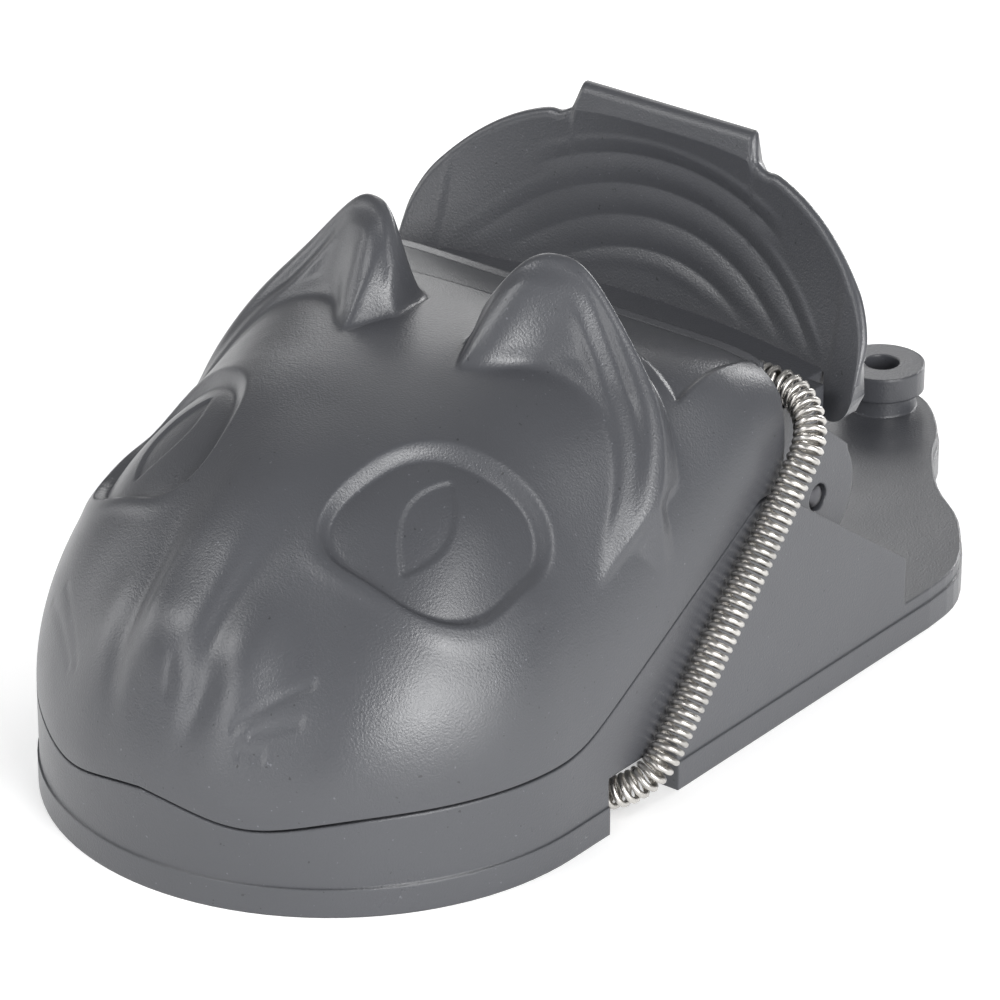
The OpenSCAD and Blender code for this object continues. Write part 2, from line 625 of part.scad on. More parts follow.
// Side plates with the knuckles at their lower ends; they stay in front of the lever's flanks.
module yoke_arms() {
    arm_front = back_y + 0.5;
    arm_back = lever_foot_y - 1;
    both_sides() translate([knuckle_x - knuckle_t / 2, 0, 0]) along_x(knuckle_t) {
        translate([hinge_y, hinge_h]) circle(r = knuckle_r);
        polygon([[hinge_y - knuckle_r, hinge_h], [hinge_y + knuckle_r, hinge_h],
                 [hinge_y + knuckle_r - 1, hinge_h + 3.5], [arm_back, flank_h - 0.5],
                 [arm_back, saddle_h], [arm_front, saddle_h], [arm_front, hinge_h + 3.5]]);
    }
}

module yoke_ribs() {
    both_sides() translate([8, 0, 0]) along_x(1.8)
        polygon([[hinge_y - 3, hinge_h], [hinge_y + 3, hinge_h], [hinge_y + 5, saddle_h - 1],
                 [back_y + 1, saddle_h - 1], [back_y + 1, hinge_h + 4.5]]);
}

module sear_lug() {
    translate([0, hinge_y, hinge_h]) rotate([180 + sear_tilt + jaw_swing, 0, 0])
        translate([-sear_half, 2, -sear_t / 2]) cube([2 * sear_half, sear_reach - 2, sear_t]);
}

module hinge_yoke() {
    color(dark_plastic) difference() {
        union() {
            yoke_wall();
            yoke_saddle();
            yoke_arms();
            yoke_ribs();
            translate([0, hinge_y, hinge_h]) pin_x(barrel_r, 2 * barrel_x);
            sear_lug();
        }
        translate([0, hinge_y, hinge_h]) pin_x(pin_bore_r, body_w);
    }
}

// ---- trigger --------------------------------------------------------------------------------------

module trigger_pedal() {
    cup_pin_r = 1.5;
    color(dark_plastic) difference() {
        union() {
            translate([0, 0, pedal_h]) linear_extrude(pedal_t) {
                translate([0, treadle_y]) circle(d = treadle_d);
                translate([-pedal_half, treadle_y]) square([2 * pedal_half, treadle_lead]);
            }
            translate([0, pivot_y, pivot_h]) pin_x(pivot_h - pedal_h, 2 * pedal_half);
            translate([0, pivot_y, pivot_h]) rotate([pedal_swing, 0, 0]) along_x(2 * sear_half)
                polygon([[post_top.x - 2.4, 0], [1.4, 0], post_top, [post_top.x - 1.4, post_top.y]]);
        }
        translate([0, pivot_y, pivot_h]) pin_x(pivot_r + pin_fit, body_w);
        translate([0, treadle_y, pedal_h - 1]) cylinder(r = cup_pin_r, h = pedal_t + 2);
    }
}

module bait_cup() {
    cup_r = cup_d / 2;
    color(dark_plastic) translate([0, treadle_y, pedal_h]) rotate_extrude()
        polygon([[0, 0], [1.5, 0], [1.5, pedal_t], [cup_r - 0.6, pedal_t], [cup_r, pedal_t + 0.6],
                 [cup_r, pedal_t + cup_h], [cup_r - 1, pedal_t + cup_h], [cup_r - 1, pedal_t + 1],
                 [0, pedal_t + 1]]);
}

module bait_block() {
    bait_r = cup_d / 2 - 1;
    bait_z = pedal_h + pedal_t + 1;
    color(bait_brown) translate([0, treadle_y, bait_z]) rotate_extrude()
        polygon([[0, 0], [bait_r, 0], [bait_r, cup_h - 2], [bait_r - 1, cup_h - 1.2], [0, cup_h - 0.8]]);
}

// ---- spring ---------------------------------------------------------------------------------------

// Cross run: a close coil drawn as one turned rod with a rib for every turn, each with a round crest.
module spring_run(y, z) {
    turns = round(2 * run_half / coil_pitch);
    pitch = 2 * run_half / turns;
    root_r = coil_r - wire_r;
    ribs = [for (i = [0:turns - 1], p = [[0, 0], [0.25, 1], [0.75, 1]])
        [root_r + wire_r * p[1], -run_half + (i + p[0]) * pitch]];
    color(steel) translate([0, y, z]) rotate([0, 90, 0])
        rotate_extrude($fn = 24) polygon(concat([[0, -run_half]], ribs, [[root_r, run_half], [0, run_half]]));
}

module spring_lower_run() { spring_run(lower_run_y, lower_run_h); }
module spring_upper_run() { spring_run(upper_run_y, upper_run_h); }

// A leg's centre line in its own plane: [X, distance along the leg] and its direction, at the length s.
function leg_station(s) = let (a = s / bend_r * 180 / PI, c = (s - path_len + bend_len) / bend_r * 180 / PI)
    s < bend_len ? [leg_x - bend_r * (1 - sin(a)), bend_r * (1 - cos(a)), cos(a), sin(a)]
    : s < path_len - bend_len ? [leg_x, s - bend_len + bend_r, 0, 1]
    : [leg_x - bend_r * (1 - cos(c)), leg_len - bend_r * (1 - sin(c)), -sin(c), cos(c)];

// Corner of the wire's section at the length s, on a coil wound round that centre line.
coil_sides = 6;
wire_sides = 4;
function wire_point(s, corner) = let (
        st = leg_station(s), turn = 360 * s / coil_pitch, b = 360 * corner / wire_sides + 45,
        r = coil_r - wire_r + wire_r * cos(b), axial = wire_r * sin(b),
        x = st[0] + st[3] * cos(turn) * r + st[2] * axial,
        along = st[1] - st[2] * cos(turn) * r + st[3] * axial,
        out = sin(turn) * r)
    [x, lower_run_y + along * cos(leg_angle) - out * sin(leg_angle),
        lower_run_h + along * sin(leg_angle) + out * cos(leg_angle)];

// Coil between two lengths along the leg.
module leg_coil(s0, s1) {
    steps = ceil((s1 - s0) / coil_pitch * coil_sides);
    points = [for (i = [0:steps], c = [0:wire_sides - 1]) wire_point(s0 + (s1 - s0) * i / steps, c)];
    last = steps * wire_sides;
    color(steel) polyhedron(points, concat(
        [[0, 1, 2], [0, 2, 3], [last + 2, last + 1, last], [last + 3, last + 2, last]],
        [for (i = [0:steps - 1], c = [0:wire_sides - 1])
            let (a = i * wire_sides + c, b = i * wire_sides + (c + 1) % wire_sides)
            each [[a, a + wire_sides, b], [b, a + wire_sides, b + wire_sides]]]));
}

end_gap = wire_d + 0.05;                  // keeps a coil's end clear of the next stretch
module spring_leg_lower_right() { leg_coil(end_gap, path_len / 2 - end_gap / 2); }
module spring_leg_upper_right() { leg_coil(path_len / 2 + end_gap / 2, path_len - end_gap); }
module spring_leg_lower_left() { mirror([1, 0, 0]) spring_leg_lower_right(); }
module spring_leg_upper_left() { mirror([1, 0, 0]) spring_leg_upper_right(); }

base();
hinge_pin();
trigger_pin();
spring_lower_run();
jaw_shell();
hinge_yoke();
press_lever();
spring_upper_run();
trigger_pedal();
bait_cup();
bait_block();
spring_leg_lower_right();
spring_leg_lower_left();
spring_leg_upper_right();
spring_leg_upper_left();
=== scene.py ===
import json
import math

import bpy
import numpy as np
from bpy.props import FloatProperty, FloatVectorProperty, IntProperty, PointerProperty
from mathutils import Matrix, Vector


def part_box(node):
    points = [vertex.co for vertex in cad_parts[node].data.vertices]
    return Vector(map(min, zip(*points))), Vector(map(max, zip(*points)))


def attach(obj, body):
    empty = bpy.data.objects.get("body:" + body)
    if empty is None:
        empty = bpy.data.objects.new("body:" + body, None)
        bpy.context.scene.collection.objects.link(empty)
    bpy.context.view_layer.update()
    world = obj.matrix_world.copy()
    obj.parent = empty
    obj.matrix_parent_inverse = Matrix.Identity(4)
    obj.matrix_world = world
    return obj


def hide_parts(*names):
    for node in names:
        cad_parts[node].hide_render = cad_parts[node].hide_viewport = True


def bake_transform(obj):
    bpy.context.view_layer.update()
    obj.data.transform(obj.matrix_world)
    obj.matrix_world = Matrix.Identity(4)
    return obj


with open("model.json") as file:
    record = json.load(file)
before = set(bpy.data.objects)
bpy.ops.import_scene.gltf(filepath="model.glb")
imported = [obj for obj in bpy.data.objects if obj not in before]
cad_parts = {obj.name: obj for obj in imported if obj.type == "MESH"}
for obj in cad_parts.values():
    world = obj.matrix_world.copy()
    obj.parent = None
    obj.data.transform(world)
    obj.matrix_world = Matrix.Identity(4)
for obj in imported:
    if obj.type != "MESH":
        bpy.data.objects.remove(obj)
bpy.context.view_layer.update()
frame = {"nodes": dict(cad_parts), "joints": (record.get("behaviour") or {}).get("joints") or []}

bl_info = {
    "name": "Cat-Headed Snap Trap",
    "version": (1, 0, 0),
    "blender": (4, 5, 0),
    "location": "3D View > Sidebar > Snap Trap",
    "description": "Moulded head, press lever, coil spring and finishes for a snap mouse trap",
    "category": "Object",
}

MM = 0.001

# ---- Places taken from the frame, in millimetres -------------------------------------------------


def corner(node, end, axis):
    """Where the frame's box of a node starts (end 0) or ends (end 1) on an axis."""
    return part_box(node)[end][axis] / MM


def joint_place(name):
    return next(np.array(j["pos_m"]) / MM for j in frame["joints"] if j["name"] == name)


HALF_W = corner("base", 1, 0)
NOSE_Y = corner("base", 0, 1) + HALF_W          # centre of the round front
WALL_W = corner("jaw_shell", 1, 0)
BACK_Y = corner("hinge_yoke", 0, 1)             # back edge of the shell
HINGE = joint_place("jaw_hinge")
LOWER_RUN = joint_place("spring_swing")
UPPER_RUN = np.array(sum(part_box("spring_upper_run"), Vector()) / 2) / MM
COIL_R = (corner("spring_upper_run", 1, 2) - corner("spring_upper_run", 0, 2)) / 2
RUN_HALF = corner("spring_upper_run", 1, 0)
LEG_X = corner("spring_leg_lower_right", 1, 0) - COIL_R
SADDLE_H = corner("press_lever", 0, 2) + 3.45   # underside of the lever's foot
LEVER_TOP = corner("press_lever", 1, 2)

# ---- Small tools ---------------------------------------------------------------------------------


CREASE = math.radians(75)                       # a sharper turn between two faces shows as an edge


def smooth(a, b, x):
    """Share of the way of x from a to b, eased at both ends."""
    t = np.clip((x - a) / (b - a), 0, 1)
    return t * t * (3 - 2 * t)


def bell(x, reach):
    """One at x = 0, falling off on both sides."""
    return np.exp(-(x / reach) ** 2)


def across_line(x, y, a, b):
    """Distance of each point from the line through a and b, and its share of the way from a to b."""
    run = np.subtract(b, a)
    px, py = x - a[0], y - a[1]
    return abs(px * run[1] - py * run[0]) / np.hypot(*run), (px * run[0] + py * run[1]) / (run @ run)


def segment_distance(x, y, a, b):
    """Distance of each point from the straight line between a and b, in plan."""
    a, b = np.array(a, float), np.array(b, float)
    run = b - a
    t = np.clip(((x - a[0]) * run[0] + (y - a[1]) * run[1]) / (run @ run), 0, 1)
    return np.hypot(x - a[0] - t * run[0], y - a[1] - t * run[1])


def spaced(density, start, stop, count):
    """count + 1 places from start to stop, closer together where density is higher."""
    fine = np.linspace(start, stop, 4001)
    weight = density(fine)
    total = np.concatenate([[0], np.cumsum((weight[1:] + weight[:-1]) / 2)])
    return np.interp(np.linspace(0, total[-1], count + 1), total, fine)


def make_mesh(name, points, faces, material, body):
    """A smooth-shaded piece from points in millimetres, riding on a body."""
    mesh = bpy.data.meshes.new(name)
    mesh.from_pydata((np.asarray(points) * MM).tolist(), [], faces)
    mesh.validate()
    mesh.polygons.foreach_set("use_smooth", [True] * len(mesh.polygons))
    mesh.set_sharp_from_angle(angle=CREASE)
    mesh.materials.append(material)
    piece = bpy.data.objects.new(name, mesh)
    bpy.context.scene.collection.objects.link(piece)
    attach(piece, body)
    return piece


def grid_faces(rows, cols, start=0, flip=False):
    """Quads of a grid of rows by cols points, numbered row by row."""
    i, j = np.meshgrid(np.arange(rows - 1), np.arange(cols - 1), indexing="ij")
    a = (start + i * cols + j).ravel()
    quads = np.stack([a, a + 1, a + cols + 1, a + cols], axis=1)
    return (quads[:, ::-1] if flip else quads).tolist()


def border(rows, cols, start=0):
    """Point numbers round the edge of such a grid."""
    top = [start + j for j in range(cols - 1)]
    right = [start + i * cols + cols - 1 for i in range(rows - 1)]
    bottom = [start + (rows - 1) * cols + j for j in range(cols - 1, 0, -1)]
    left = [start + i * cols for i in range(rows - 1, 0, -1)]
    return top + right + bottom + left


LINING = 4                                      # a wall's plain side has every fourth row and column


def walled(name, fine, coarse, step, body):
    """A closed wall between a fine grid of points and a coarse one with every step-th row and column."""
    rows, cols = fine.shape[:2]
    start = rows * cols
    faces = grid_faces(rows, cols) + grid_faces(*coarse.shape[:2], start, flip=True)
    edge, lining = border(rows, cols), border(*coarse.shape[:2], start)
    for k, a in enumerate(lining):
        b = lining[(k + 1) % len(lining)]
        run = [edge[(k * step + m) % len(edge)] for m in range(step + 1)]
        faces.append((run[step // 2], a, b))
        faces += [(run[m + 1], run[m], a if m < step // 2 else b) for m in range(step)]
    piece = make_mesh(name, np.concatenate([fine.reshape(-1, 3), coarse.reshape(-1, 3)]), faces,
                      finish("grey_plastic"), body)
    return piece


# ---- Materials -----------------------------------------------------------------------------------


class Shader:
    """A material's node tree with short calls for the nodes that the finishes share."""

    def __init__(self, name):
        self.material = bpy.data.materials.get(name) or bpy.data.materials.new(name)
        self.material.use_nodes = True
        self.tree = self.material.node_tree
        self.tree.nodes.clear()
        self.output = self.tree.nodes.new("ShaderNodeOutputMaterial")
        self.surface = self.tree.nodes.new("ShaderNodeBsdfPrincipled")
        self.link(self.surface.outputs[0], self.output.inputs["Surface"])
        self.place = self.tree.nodes.new("ShaderNodeTexCoord").outputs["Object"]

    def link(self, source, target):
        self.tree.links.new(source, target)

    def noise(self, scale, detail=2.0, roughness=0.5):
        node = self.tree.nodes.new("ShaderNodeTexNoise")
        node.inputs["Scale"].default_value = scale
        node.inputs["Detail"].default_value = detail
        node.inputs["Roughness"].default_value = roughness
        self.link(self.place, node.inputs["Vector"])
        return node.outputs["Fac"]

    def cells(self, scale):
        node = self.tree.nodes.new("ShaderNodeTexVoronoi")
        node.inputs["Scale"].default_value = scale
        self.link(self.place, node.inputs["Vector"])
        return node.outputs["Distance"]

    def remap(self, value, low, high, to_low=0.0, to_high=1.0):
        node = self.tree.nodes.new("ShaderNodeMapRange")
        for socket, number in zip(("From Min", "From Max", "To Min", "To Max"), (low, high, to_low, to_high)):
            node.inputs[socket].default_value = number
        self.link(value, node.inputs["Value"])
        return node.outputs[0]

    def blend(self, factor, dark, light):
        node = self.tree.nodes.new("ShaderNodeMix")
        node.data_type = "RGBA"
        self.link(factor, node.inputs["Factor"])
        for socket, colour in zip(("A", "B"), (dark, light)):
            target = next(s for s in node.inputs if s.name == socket and s.type == "RGBA")
            if isinstance(colour, bpy.types.NodeSocket):
                self.link(colour, target)
            else:
                target.default_value = (*colour, 1.0)
        return next(s for s in node.outputs if s.type == "RGBA")

    def bump(self, height, strength, distance, normal=None):
        node = self.tree.nodes.new("ShaderNodeBump")
        node.inputs["Strength"].default_value = strength
        node.inputs["Distance"].default_value = distance
        self.link(height, node.inputs["Height"])
        if normal is not None:
            self.link(normal, node.inputs["Normal"])
        return node.outputs["Normal"]

    def soft_edges(self, radius, samples=6):
        node = self.tree.nodes.new("ShaderNodeBevel")
        node.samples = samples
        node.inputs["Radius"].default_value = radius
        return node.outputs["Normal"]


# Features per metre of the plastic's patterns, from its broad flow clouds to the grain of the mould.
CLOUDS, WEAR, RIPPLE, DARK_SPOTS, SPECKS, GRAIN = 55, 160, 260, 2100, 2900, 5200


def shade_of(colour, share):
    """A colour lightened or darkened to a share of itself."""
    return [min(1.0, c * share) for c in colour]


def moulded_plastic(name, colour, roughness, edge_radius=None):
    """Dark satin plastic from a finely grained mould, with faint flow clouds, dust specks and small dark spots.
    """
    s = Shader(name)
    clouds = s.remap(s.noise(CLOUDS, 3), 0.25, 0.75)
    tone = s.blend(clouds, shade_of(colour, 0.94), shade_of(colour, 1.07))
    specks = s.remap(s.noise(SPECKS, 1), 0.765, 0.785)
    tone = s.blend(specks, tone, shade_of(colour, 2.0))
    # small dark spots, painted at half the plastic's tone
    dark_spots = s.remap(s.noise(DARK_SPOTS, 1), 0.235, 0.215)
    tone = s.blend(dark_spots, tone, shade_of(colour, 0.5))
    s.link(tone, s.surface.inputs["Base Color"])
    wear = s.remap(s.noise(WEAR, 4), 0.2, 0.8, roughness - 0.04, roughness + 0.05)
    s.link(wear, s.surface.inputs["Roughness"])
    edges = s.soft_edges(edge_radius) if edge_radius else None
    ripple = s.bump(s.noise(RIPPLE, 2), 0.12, 0.0002, edges)
    grain = s.bump(s.noise(GRAIN, 2, 0.6), 0.32, 0.0001, ripple)
    s.link(grain, s.surface.inputs["Normal"])
    s.surface.inputs["Specular IOR Level"].default_value = 0.62
    return s.material


def drawn_steel(name, colour, roughness):
    """Drawn steel with fine scratches and a little tarnish."""
    s = Shader(name)
    tarnish = s.remap(s.noise(420, 3), 0.35, 0.7)
    s.link(s.blend(tarnish, colour, shade_of(colour, 0.72)), s.surface.inputs["Base Color"])
    scuffs = s.remap(s.noise(2600, 2), 0.3, 0.7, roughness - 0.06, roughness + 0.1)
    s.link(scuffs, s.surface.inputs["Roughness"])
    s.link(s.bump(s.noise(3000, 2), 0.08, 0.00003), s.surface.inputs["Normal"])
    s.surface.inputs["Metallic"].default_value = 1.0
    return s.material


def bait_paste(name, colour):
    """Waxy bait with darker crumbs pressed into it."""
    s = Shader(name)
    crumbs = s.remap(s.cells(900), 0.1, 0.45)
    s.link(s.blend(crumbs, shade_of(colour, 0.5), colour), s.surface.inputs["Base Color"])
    s.link(s.bump(s.noise(800, 4), 0.5, 0.0003), s.surface.inputs["Normal"])
    s.link(s.remap(s.noise(300, 2), 0.3, 0.7, 0.45, 0.6), s.surface.inputs["Roughness"])
    s.surface.inputs["Subsurface Weight"].default_value = 0.1
    s.surface.inputs["Subsurface Scale"].default_value = 0.001
    return s.material


class FinishSettings(bpy.types.PropertyGroup):
    plastic: FloatVectorProperty(name="Plastic", description="Colour of the grey mouldings", subtype="COLOR",
                                 default=(0.058, 0.060, 0.067))
    plastic_roughness: FloatProperty(name="Plastic roughness", description="Roughness of the satin plastic",
                                     default=0.30, min=0, max=1, subtype="FACTOR")
    edge_radius: FloatProperty(name="Edge radius", description="Rounding seen on the mouldings' edges",
                               default=0.00035, unit="LENGTH")
    wire: FloatVectorProperty(name="Wire", description="Colour of the spring wire", subtype="COLOR",
                              default=(0.66, 0.64, 0.61))
    wire_roughness: FloatProperty(name="Wire roughness", description="Roughness of the spring wire",
                                  default=0.30, min=0, max=1, subtype="FACTOR")
    pin: FloatVectorProperty(name="Pins", description="Colour of the pivot pins", subtype="COLOR",
                             default=(0.13, 0.13, 0.14))
    pin_roughness: FloatProperty(name="Pin roughness", description="Roughness of the pivot pins",
                                 default=0.34, min=0, max=1, subtype="FACTOR")
    bait: FloatVectorProperty(name="Bait", description="Colour of the bait", subtype="COLOR",
                              default=(0.36, 0.19, 0.07))


def finish(name):
    return bpy.data.materials[name]


class TRAP_OT_finishes(bpy.types.Operator):
    """Make the finishes and give them to the CAD parts that stay visible"""

    bl_idname = "trap.finishes"
    bl_label = "Finishes"

    def execute(self, context):
        look = context.scene.trap_finish
        moulded_plastic("grey_plastic", look.plastic, look.plastic_roughness)
        moulded_plastic("grey_plastic_edged", look.plastic, look.plastic_roughness, look.edge_radius)
        drawn_steel("spring_wire", look.wire, look.wire_roughness)
        drawn_steel("pin_steel", look.pin, look.pin_roughness)
        bait_paste("bait_paste", look.bait)
        worn_by = {
            "grey_plastic_edged": ("base", "hinge_yoke", "trigger_pedal", "bait_cup"),
            "pin_steel": ("trigger_pin",),
            "bait_paste": ("bait_block",),
        }
        for material, nodes in worn_by.items():
            for node in nodes:
                for slot in frame["nodes"][node].material_slots:
                    slot.material = finish(material)
        return {"FINISHED"}


# ---- The head ------------------------------------------------------------------------------------


class HeadSettings(bpy.types.PropertyGroup):
    lip_h: FloatProperty(name="Lip height", default=9.0,
                         description="Height of the mouth line at the front, in mm")
    smile_depth: FloatProperty(name="Smile depth", default=1.65,
                               description="Depth of the two smile dips, in mm")
    peak_h: FloatProperty(name="Peak height", default=22.4,
                          description="Height of the cheek line's peak, in mm")
    peak_lead: FloatProperty(name="Peak lead", default=10.0, description="Peak in front of the hinge, in mm")
    mouth_gap: FloatProperty(name="Mouth gap", default=0.25, description="Gap between the closed jaws, in mm")
    crown_h: FloatProperty(name="Crown height", default=34.1,
                           description="Forehead over the round front, in mm")
    back_h: FloatProperty(name="Back height", default=33.0, description="Height of the back edge, in mm")
    shell_t: FloatProperty(name="Wall", default=1.8, description="Thickness of the head's wall, in mm")
    ear_h: FloatProperty(name="Ear height", default=8.0,
                         description="Height of the ears over the forehead, in mm")
    ear_x: FloatProperty(name="Ear place", default=9.9, description="Ear tip from the middle plane, in mm")
    ear_cup: FloatProperty(name="Ear cup", default=0.35,
                           description="Depth of the cup in each ear's front, in mm")
    eye_x: FloatProperty(name="Eye place", default=13.9, description="Eye centre from the middle plane, in mm")
    eye_depth: FloatProperty(name="Eye depth", default=0.95, description="Depth of the eye sockets, in mm")
    eye_rise: FloatProperty(name="Eyeball", default=0.3, description="Rise of the eyeball in its socket, in mm")
    pupil_depth: FloatProperty(name="Pupil", default=0.2, description="Depth of the slit pupils, in mm")
    bridge_rise: FloatProperty(name="Nose bridge", default=1.15, description="Height of the nose bridge, in mm")
    tip_rise: FloatProperty(name="Nose tip", default=0.7, description="Further height of the nose's tip, in mm")
    panel_depth: FloatProperty(name="Panel", default=0.4, description="Depth of the bare panel, in mm")
    columns: IntProperty(name="Columns", default=272,
                         description="Columns of the head's fine mesh, a multiple of 4")
    rows: IntProperty(name="Rows", default=312, description="Rows of the head's fine mesh, a multiple of 4")


# Lengths are in millimetres. A name that ends in _D counts along Y from the centre of the round front, and one
# that ends in _X from the middle plane.
LIP_SLOPE, LIP_BEND = 0.56, 1.2                 # rise of the cheek line, and length of the bend at its foot
PEAK_FLAT = 1.9                                 # from the start of the cheek line's flat top to its peak
SMILE_X, SMILE_REACH = 9.5, 6.2                 # middle and breadth of a smile dip
CROWN_SLOPE, CROWN_DROOP = 0.27, 0.004          # the forehead's slope, and how it falls off towards the nose
SQUARE_FRONT, SQUARE_CHEEK, SQUARE_BACK = 2.5, 2.9, 5
# The dome's section is an arch of power SQUARE_FRONT; the other two are added over the cheeks and at the back.
SLOPE_STEP = 0.05                               # half the distance over which a slope is measured
EYE_Y = NOSE_Y - 3.8
EYE_LONG, EYE_SHORT, EYE_TURN = 9.25, 6.2, math.radians(49)
EYE_TOP = math.radians(78)                      # side of the eye where its bevel is widest
EYE_RIM_RISE = 0.15                             # raised rim below each eye
PUPIL_TOP, PUPIL_FOOT, PUPIL_HALF = (13.1, -29.9), (14.5, -38.2), 2.0
PUPIL_BLUR = 0.15                               # half the width of the step at a pupil's edge
NOSE_TIP_D, NOSE_TIP_REACH = -20.2, 2.9
FOLD_RISE, FOLD_DEPTH = 0.12, 0.2               # ridge beside the nose, and the groove outside it
MUZZLE_RISE, MUZZLE_X, MUZZLE_D = 1.25, 6.3, -19.6
SLOT_TOP, SLOT_FOOT = (1.35, NOSE_Y - 21.3), (1.5, NOSE_Y - 22.1)
SLOT_DEPTH, SLOT_REACH = 0.1, 0.45              # the nostril slot at the foot of the nose
WHISKER_REACH, WHISKER_DEPTH, SOFT_WHISKER_DEPTH = 0.2, 0.14, 0.06
PANEL_HALF, PANEL_LENGTH, PANEL_STEP = 20.2, 7.2, 0.25
EAR_Y = NOSE_Y + 18.45                          # foremost place of the ears' crest
EAR_OUTER_H = 2.0                               # height to which an ear falls off on its outer side
EAR_FADE_X, EAR_END_X = 22.5, 24.6              # where that height starts to fade, and where it is gone
EAR_LEAN = np.array([0, 0, 1.2])                # added to the dome's normal, gives the way an ear stands up
EAR_FACE_WAY = np.array([0, -0.86, 0.5])        # the way an ear's front face looks
PILLOW_RISE, EAR_FOLD_RISE = 0.6, 0.28          # relief in the cup of an ear
CORNER_R = 1.6                                  # rounding of the head's two rear corners, in plan
RIM_LAP = 0.4                                   # the lining's edge stays this far above the rim
WHISKERS = (                                    # ends of each whisker, in plan
    ((7.7, -51.0), (12.3, -46.9)), ((9.1, -50.7), (12.3, -48.6)), ((8.5, -51.5), (10.2, -50.8)),
    ((-9.7, -50.4), (-15.4, -45.3)), ((-10.9, -50.1), (-17.0, -45.3)),
)


class Head:
    """The cat's head as a dome over its plan, raised and cut by its features."""

    def __init__(self, size):
        self.size = size
        self.rise_y = HINGE[1] - size.peak_lead - PEAK_FLAT - (size.peak_h - size.lip_h) / LIP_SLOPE

    def lip(self, x, y):
        """Height of the mouth line, which rises along the cheeks to a flat top."""
        s = self.size
        rise = LIP_SLOPE * LIP_BEND * np.logaddexp(0, (y - self.rise_y) / LIP_BEND)
        dips = s.smile_depth * bell(abs(x) - SMILE_X, SMILE_REACH) * smooth(NOSE_Y, NOSE_Y - 6, y)
        return np.minimum(s.peak_h, s.lip_h + rise) - dips

    def crown(self, y):
        """Height of the dome along its middle, before the relief."""
        s = self.size
        back = BACK_Y - NOSE_Y
        fall = (s.crown_h + CROWN_SLOPE * back - s.back_h) / back ** 2
        d = y - NOSE_Y
        return s.crown_h + CROWN_SLOPE * d - np.where(d < 0, CROWN_DROOP, fall) * d * d

    def dome(self, x, y, inset=0.0):
        """Height of the plain dome over its plan, or of its inside at an inset."""
        rim = self.lip(x, y) + self.size.mouth_gap
        reach = np.where(y < NOSE_Y, np.hypot(x, y - NOSE_Y), abs(x)) / (WALL_W - inset)
        cheek, back = smooth(NOSE_Y + 4.4, BACK_Y - 1, y), smooth(BACK_Y - 13, BACK_Y, y)
        power = SQUARE_FRONT + SQUARE_CHEEK * cheek + SQUARE_BACK * back
        bow = np.sqrt(np.clip(1 - np.clip(reach, 0, 1) ** power, 0, 1))
        return rim + (self.crown(y) - inset - rim) * bow

    def normal(self, x, y):
        h = SLOPE_STEP
        gx = (self.dome(x + h, y) - self.dome(x - h, y)) / (2 * h)
        gy = (self.dome(x, y + h) - self.dome(x, y - h)) / (2 * h)
        n = np.stack([-gx, -gy, np.ones_like(gx)], axis=-1)
        return n / np.linalg.norm(n, axis=-1, keepdims=True)

    def eyes(self, x, y):
        """Leaning sockets with a bevel that is wide on top and sharp below, a low eyeball and a slit pupil."""
        s = self.size
        dx, dy = abs(x) - s.eye_x, y - EYE_Y
        along = (dx * math.cos(EYE_TURN) + dy * math.sin(EYE_TURN)) / EYE_LONG
        across = (dy * math.cos(EYE_TURN) - dx * math.sin(EYE_TURN)) / EYE_SHORT
        turn = np.arctan2(across, along)
        r = np.hypot(along, across) / (1 + 0.05 * np.cos(4 * turn) + 0.03 * np.sin(3 * turn))
        top = (1 + np.cos(turn - EYE_TOP)) / 2
        bevel = 0.05 + 0.21 * top ** 1.6
        ball = np.clip(1 - (r / (1 - bevel)) ** 2, 0, 1) ** 0.85
        relief = s.eye_rise * ball - s.eye_depth * smooth(1, 1 - bevel, r)
        relief = relief + EYE_RIM_RISE * bell(r - 1.08, 0.08) * smooth(0.5, 0.1, top)
        side, share = across_line(abs(x), y, PUPIL_TOP, PUPIL_FOOT)
        leaf = side - PUPIL_HALF * np.sin(math.pi * np.clip(share, 0, 1)) ** 0.9
        inside = smooth(PUPIL_BLUR, -PUPIL_BLUR, leaf) * ((share > 0) & (share < 1))
        return relief - s.pupil_depth * inside

    def snout(self, x, y):
        """A bridge with a rounded tip, a fold on each side of it and the muzzle's two soft bumps."""
        s = self.size
        a, d = abs(x), y - NOSE_Y
        half = 3.9 - 0.5 * smooth(-10, -18, d)
        steep = 3.0 + 2.0 * smooth(-12, -18, d)
        bridge = s.bridge_rise * smooth(0, -15, d) * smooth(-24.5, -18.5, d) * np.exp(-(a / half) ** steep)
        tip = s.tip_rise * bell(d - NOSE_TIP_D, 2.7) * bell(a, NOSE_TIP_REACH)
        from_fold = a - 4.3 - 0.46 * (d + 19.5)
        ridge = FOLD_RISE * bell(from_fold, 1.0) - FOLD_DEPTH * bell(from_fold - 1.4, 1.1)
        fold = bell(d + 21.6, 1.6) * ridge
        bump = MUZZLE_RISE * bell(a - MUZZLE_X, 3.3) * bell(d - MUZZLE_D, 3.4)
        softer_left = 0.45 + 0.55 * smooth(-5, 3, x)
        slot = SLOT_DEPTH * bell(segment_distance(x, y, SLOT_TOP, SLOT_FOOT), SLOT_REACH)
        return bridge + tip + (fold + bump) * softer_left - slot

    def whiskers(self, x, y):
        """Fine grooves, softer on the left half."""
        deepest = np.zeros_like(x)
        for a, b in WHISKERS:
            depth = WHISKER_DEPTH if a[0] > 0 else SOFT_WHISKER_DEPTH
            deepest = np.maximum(deepest, depth * bell(segment_distance(x, y, a, b), WHISKER_REACH))
        return -deepest

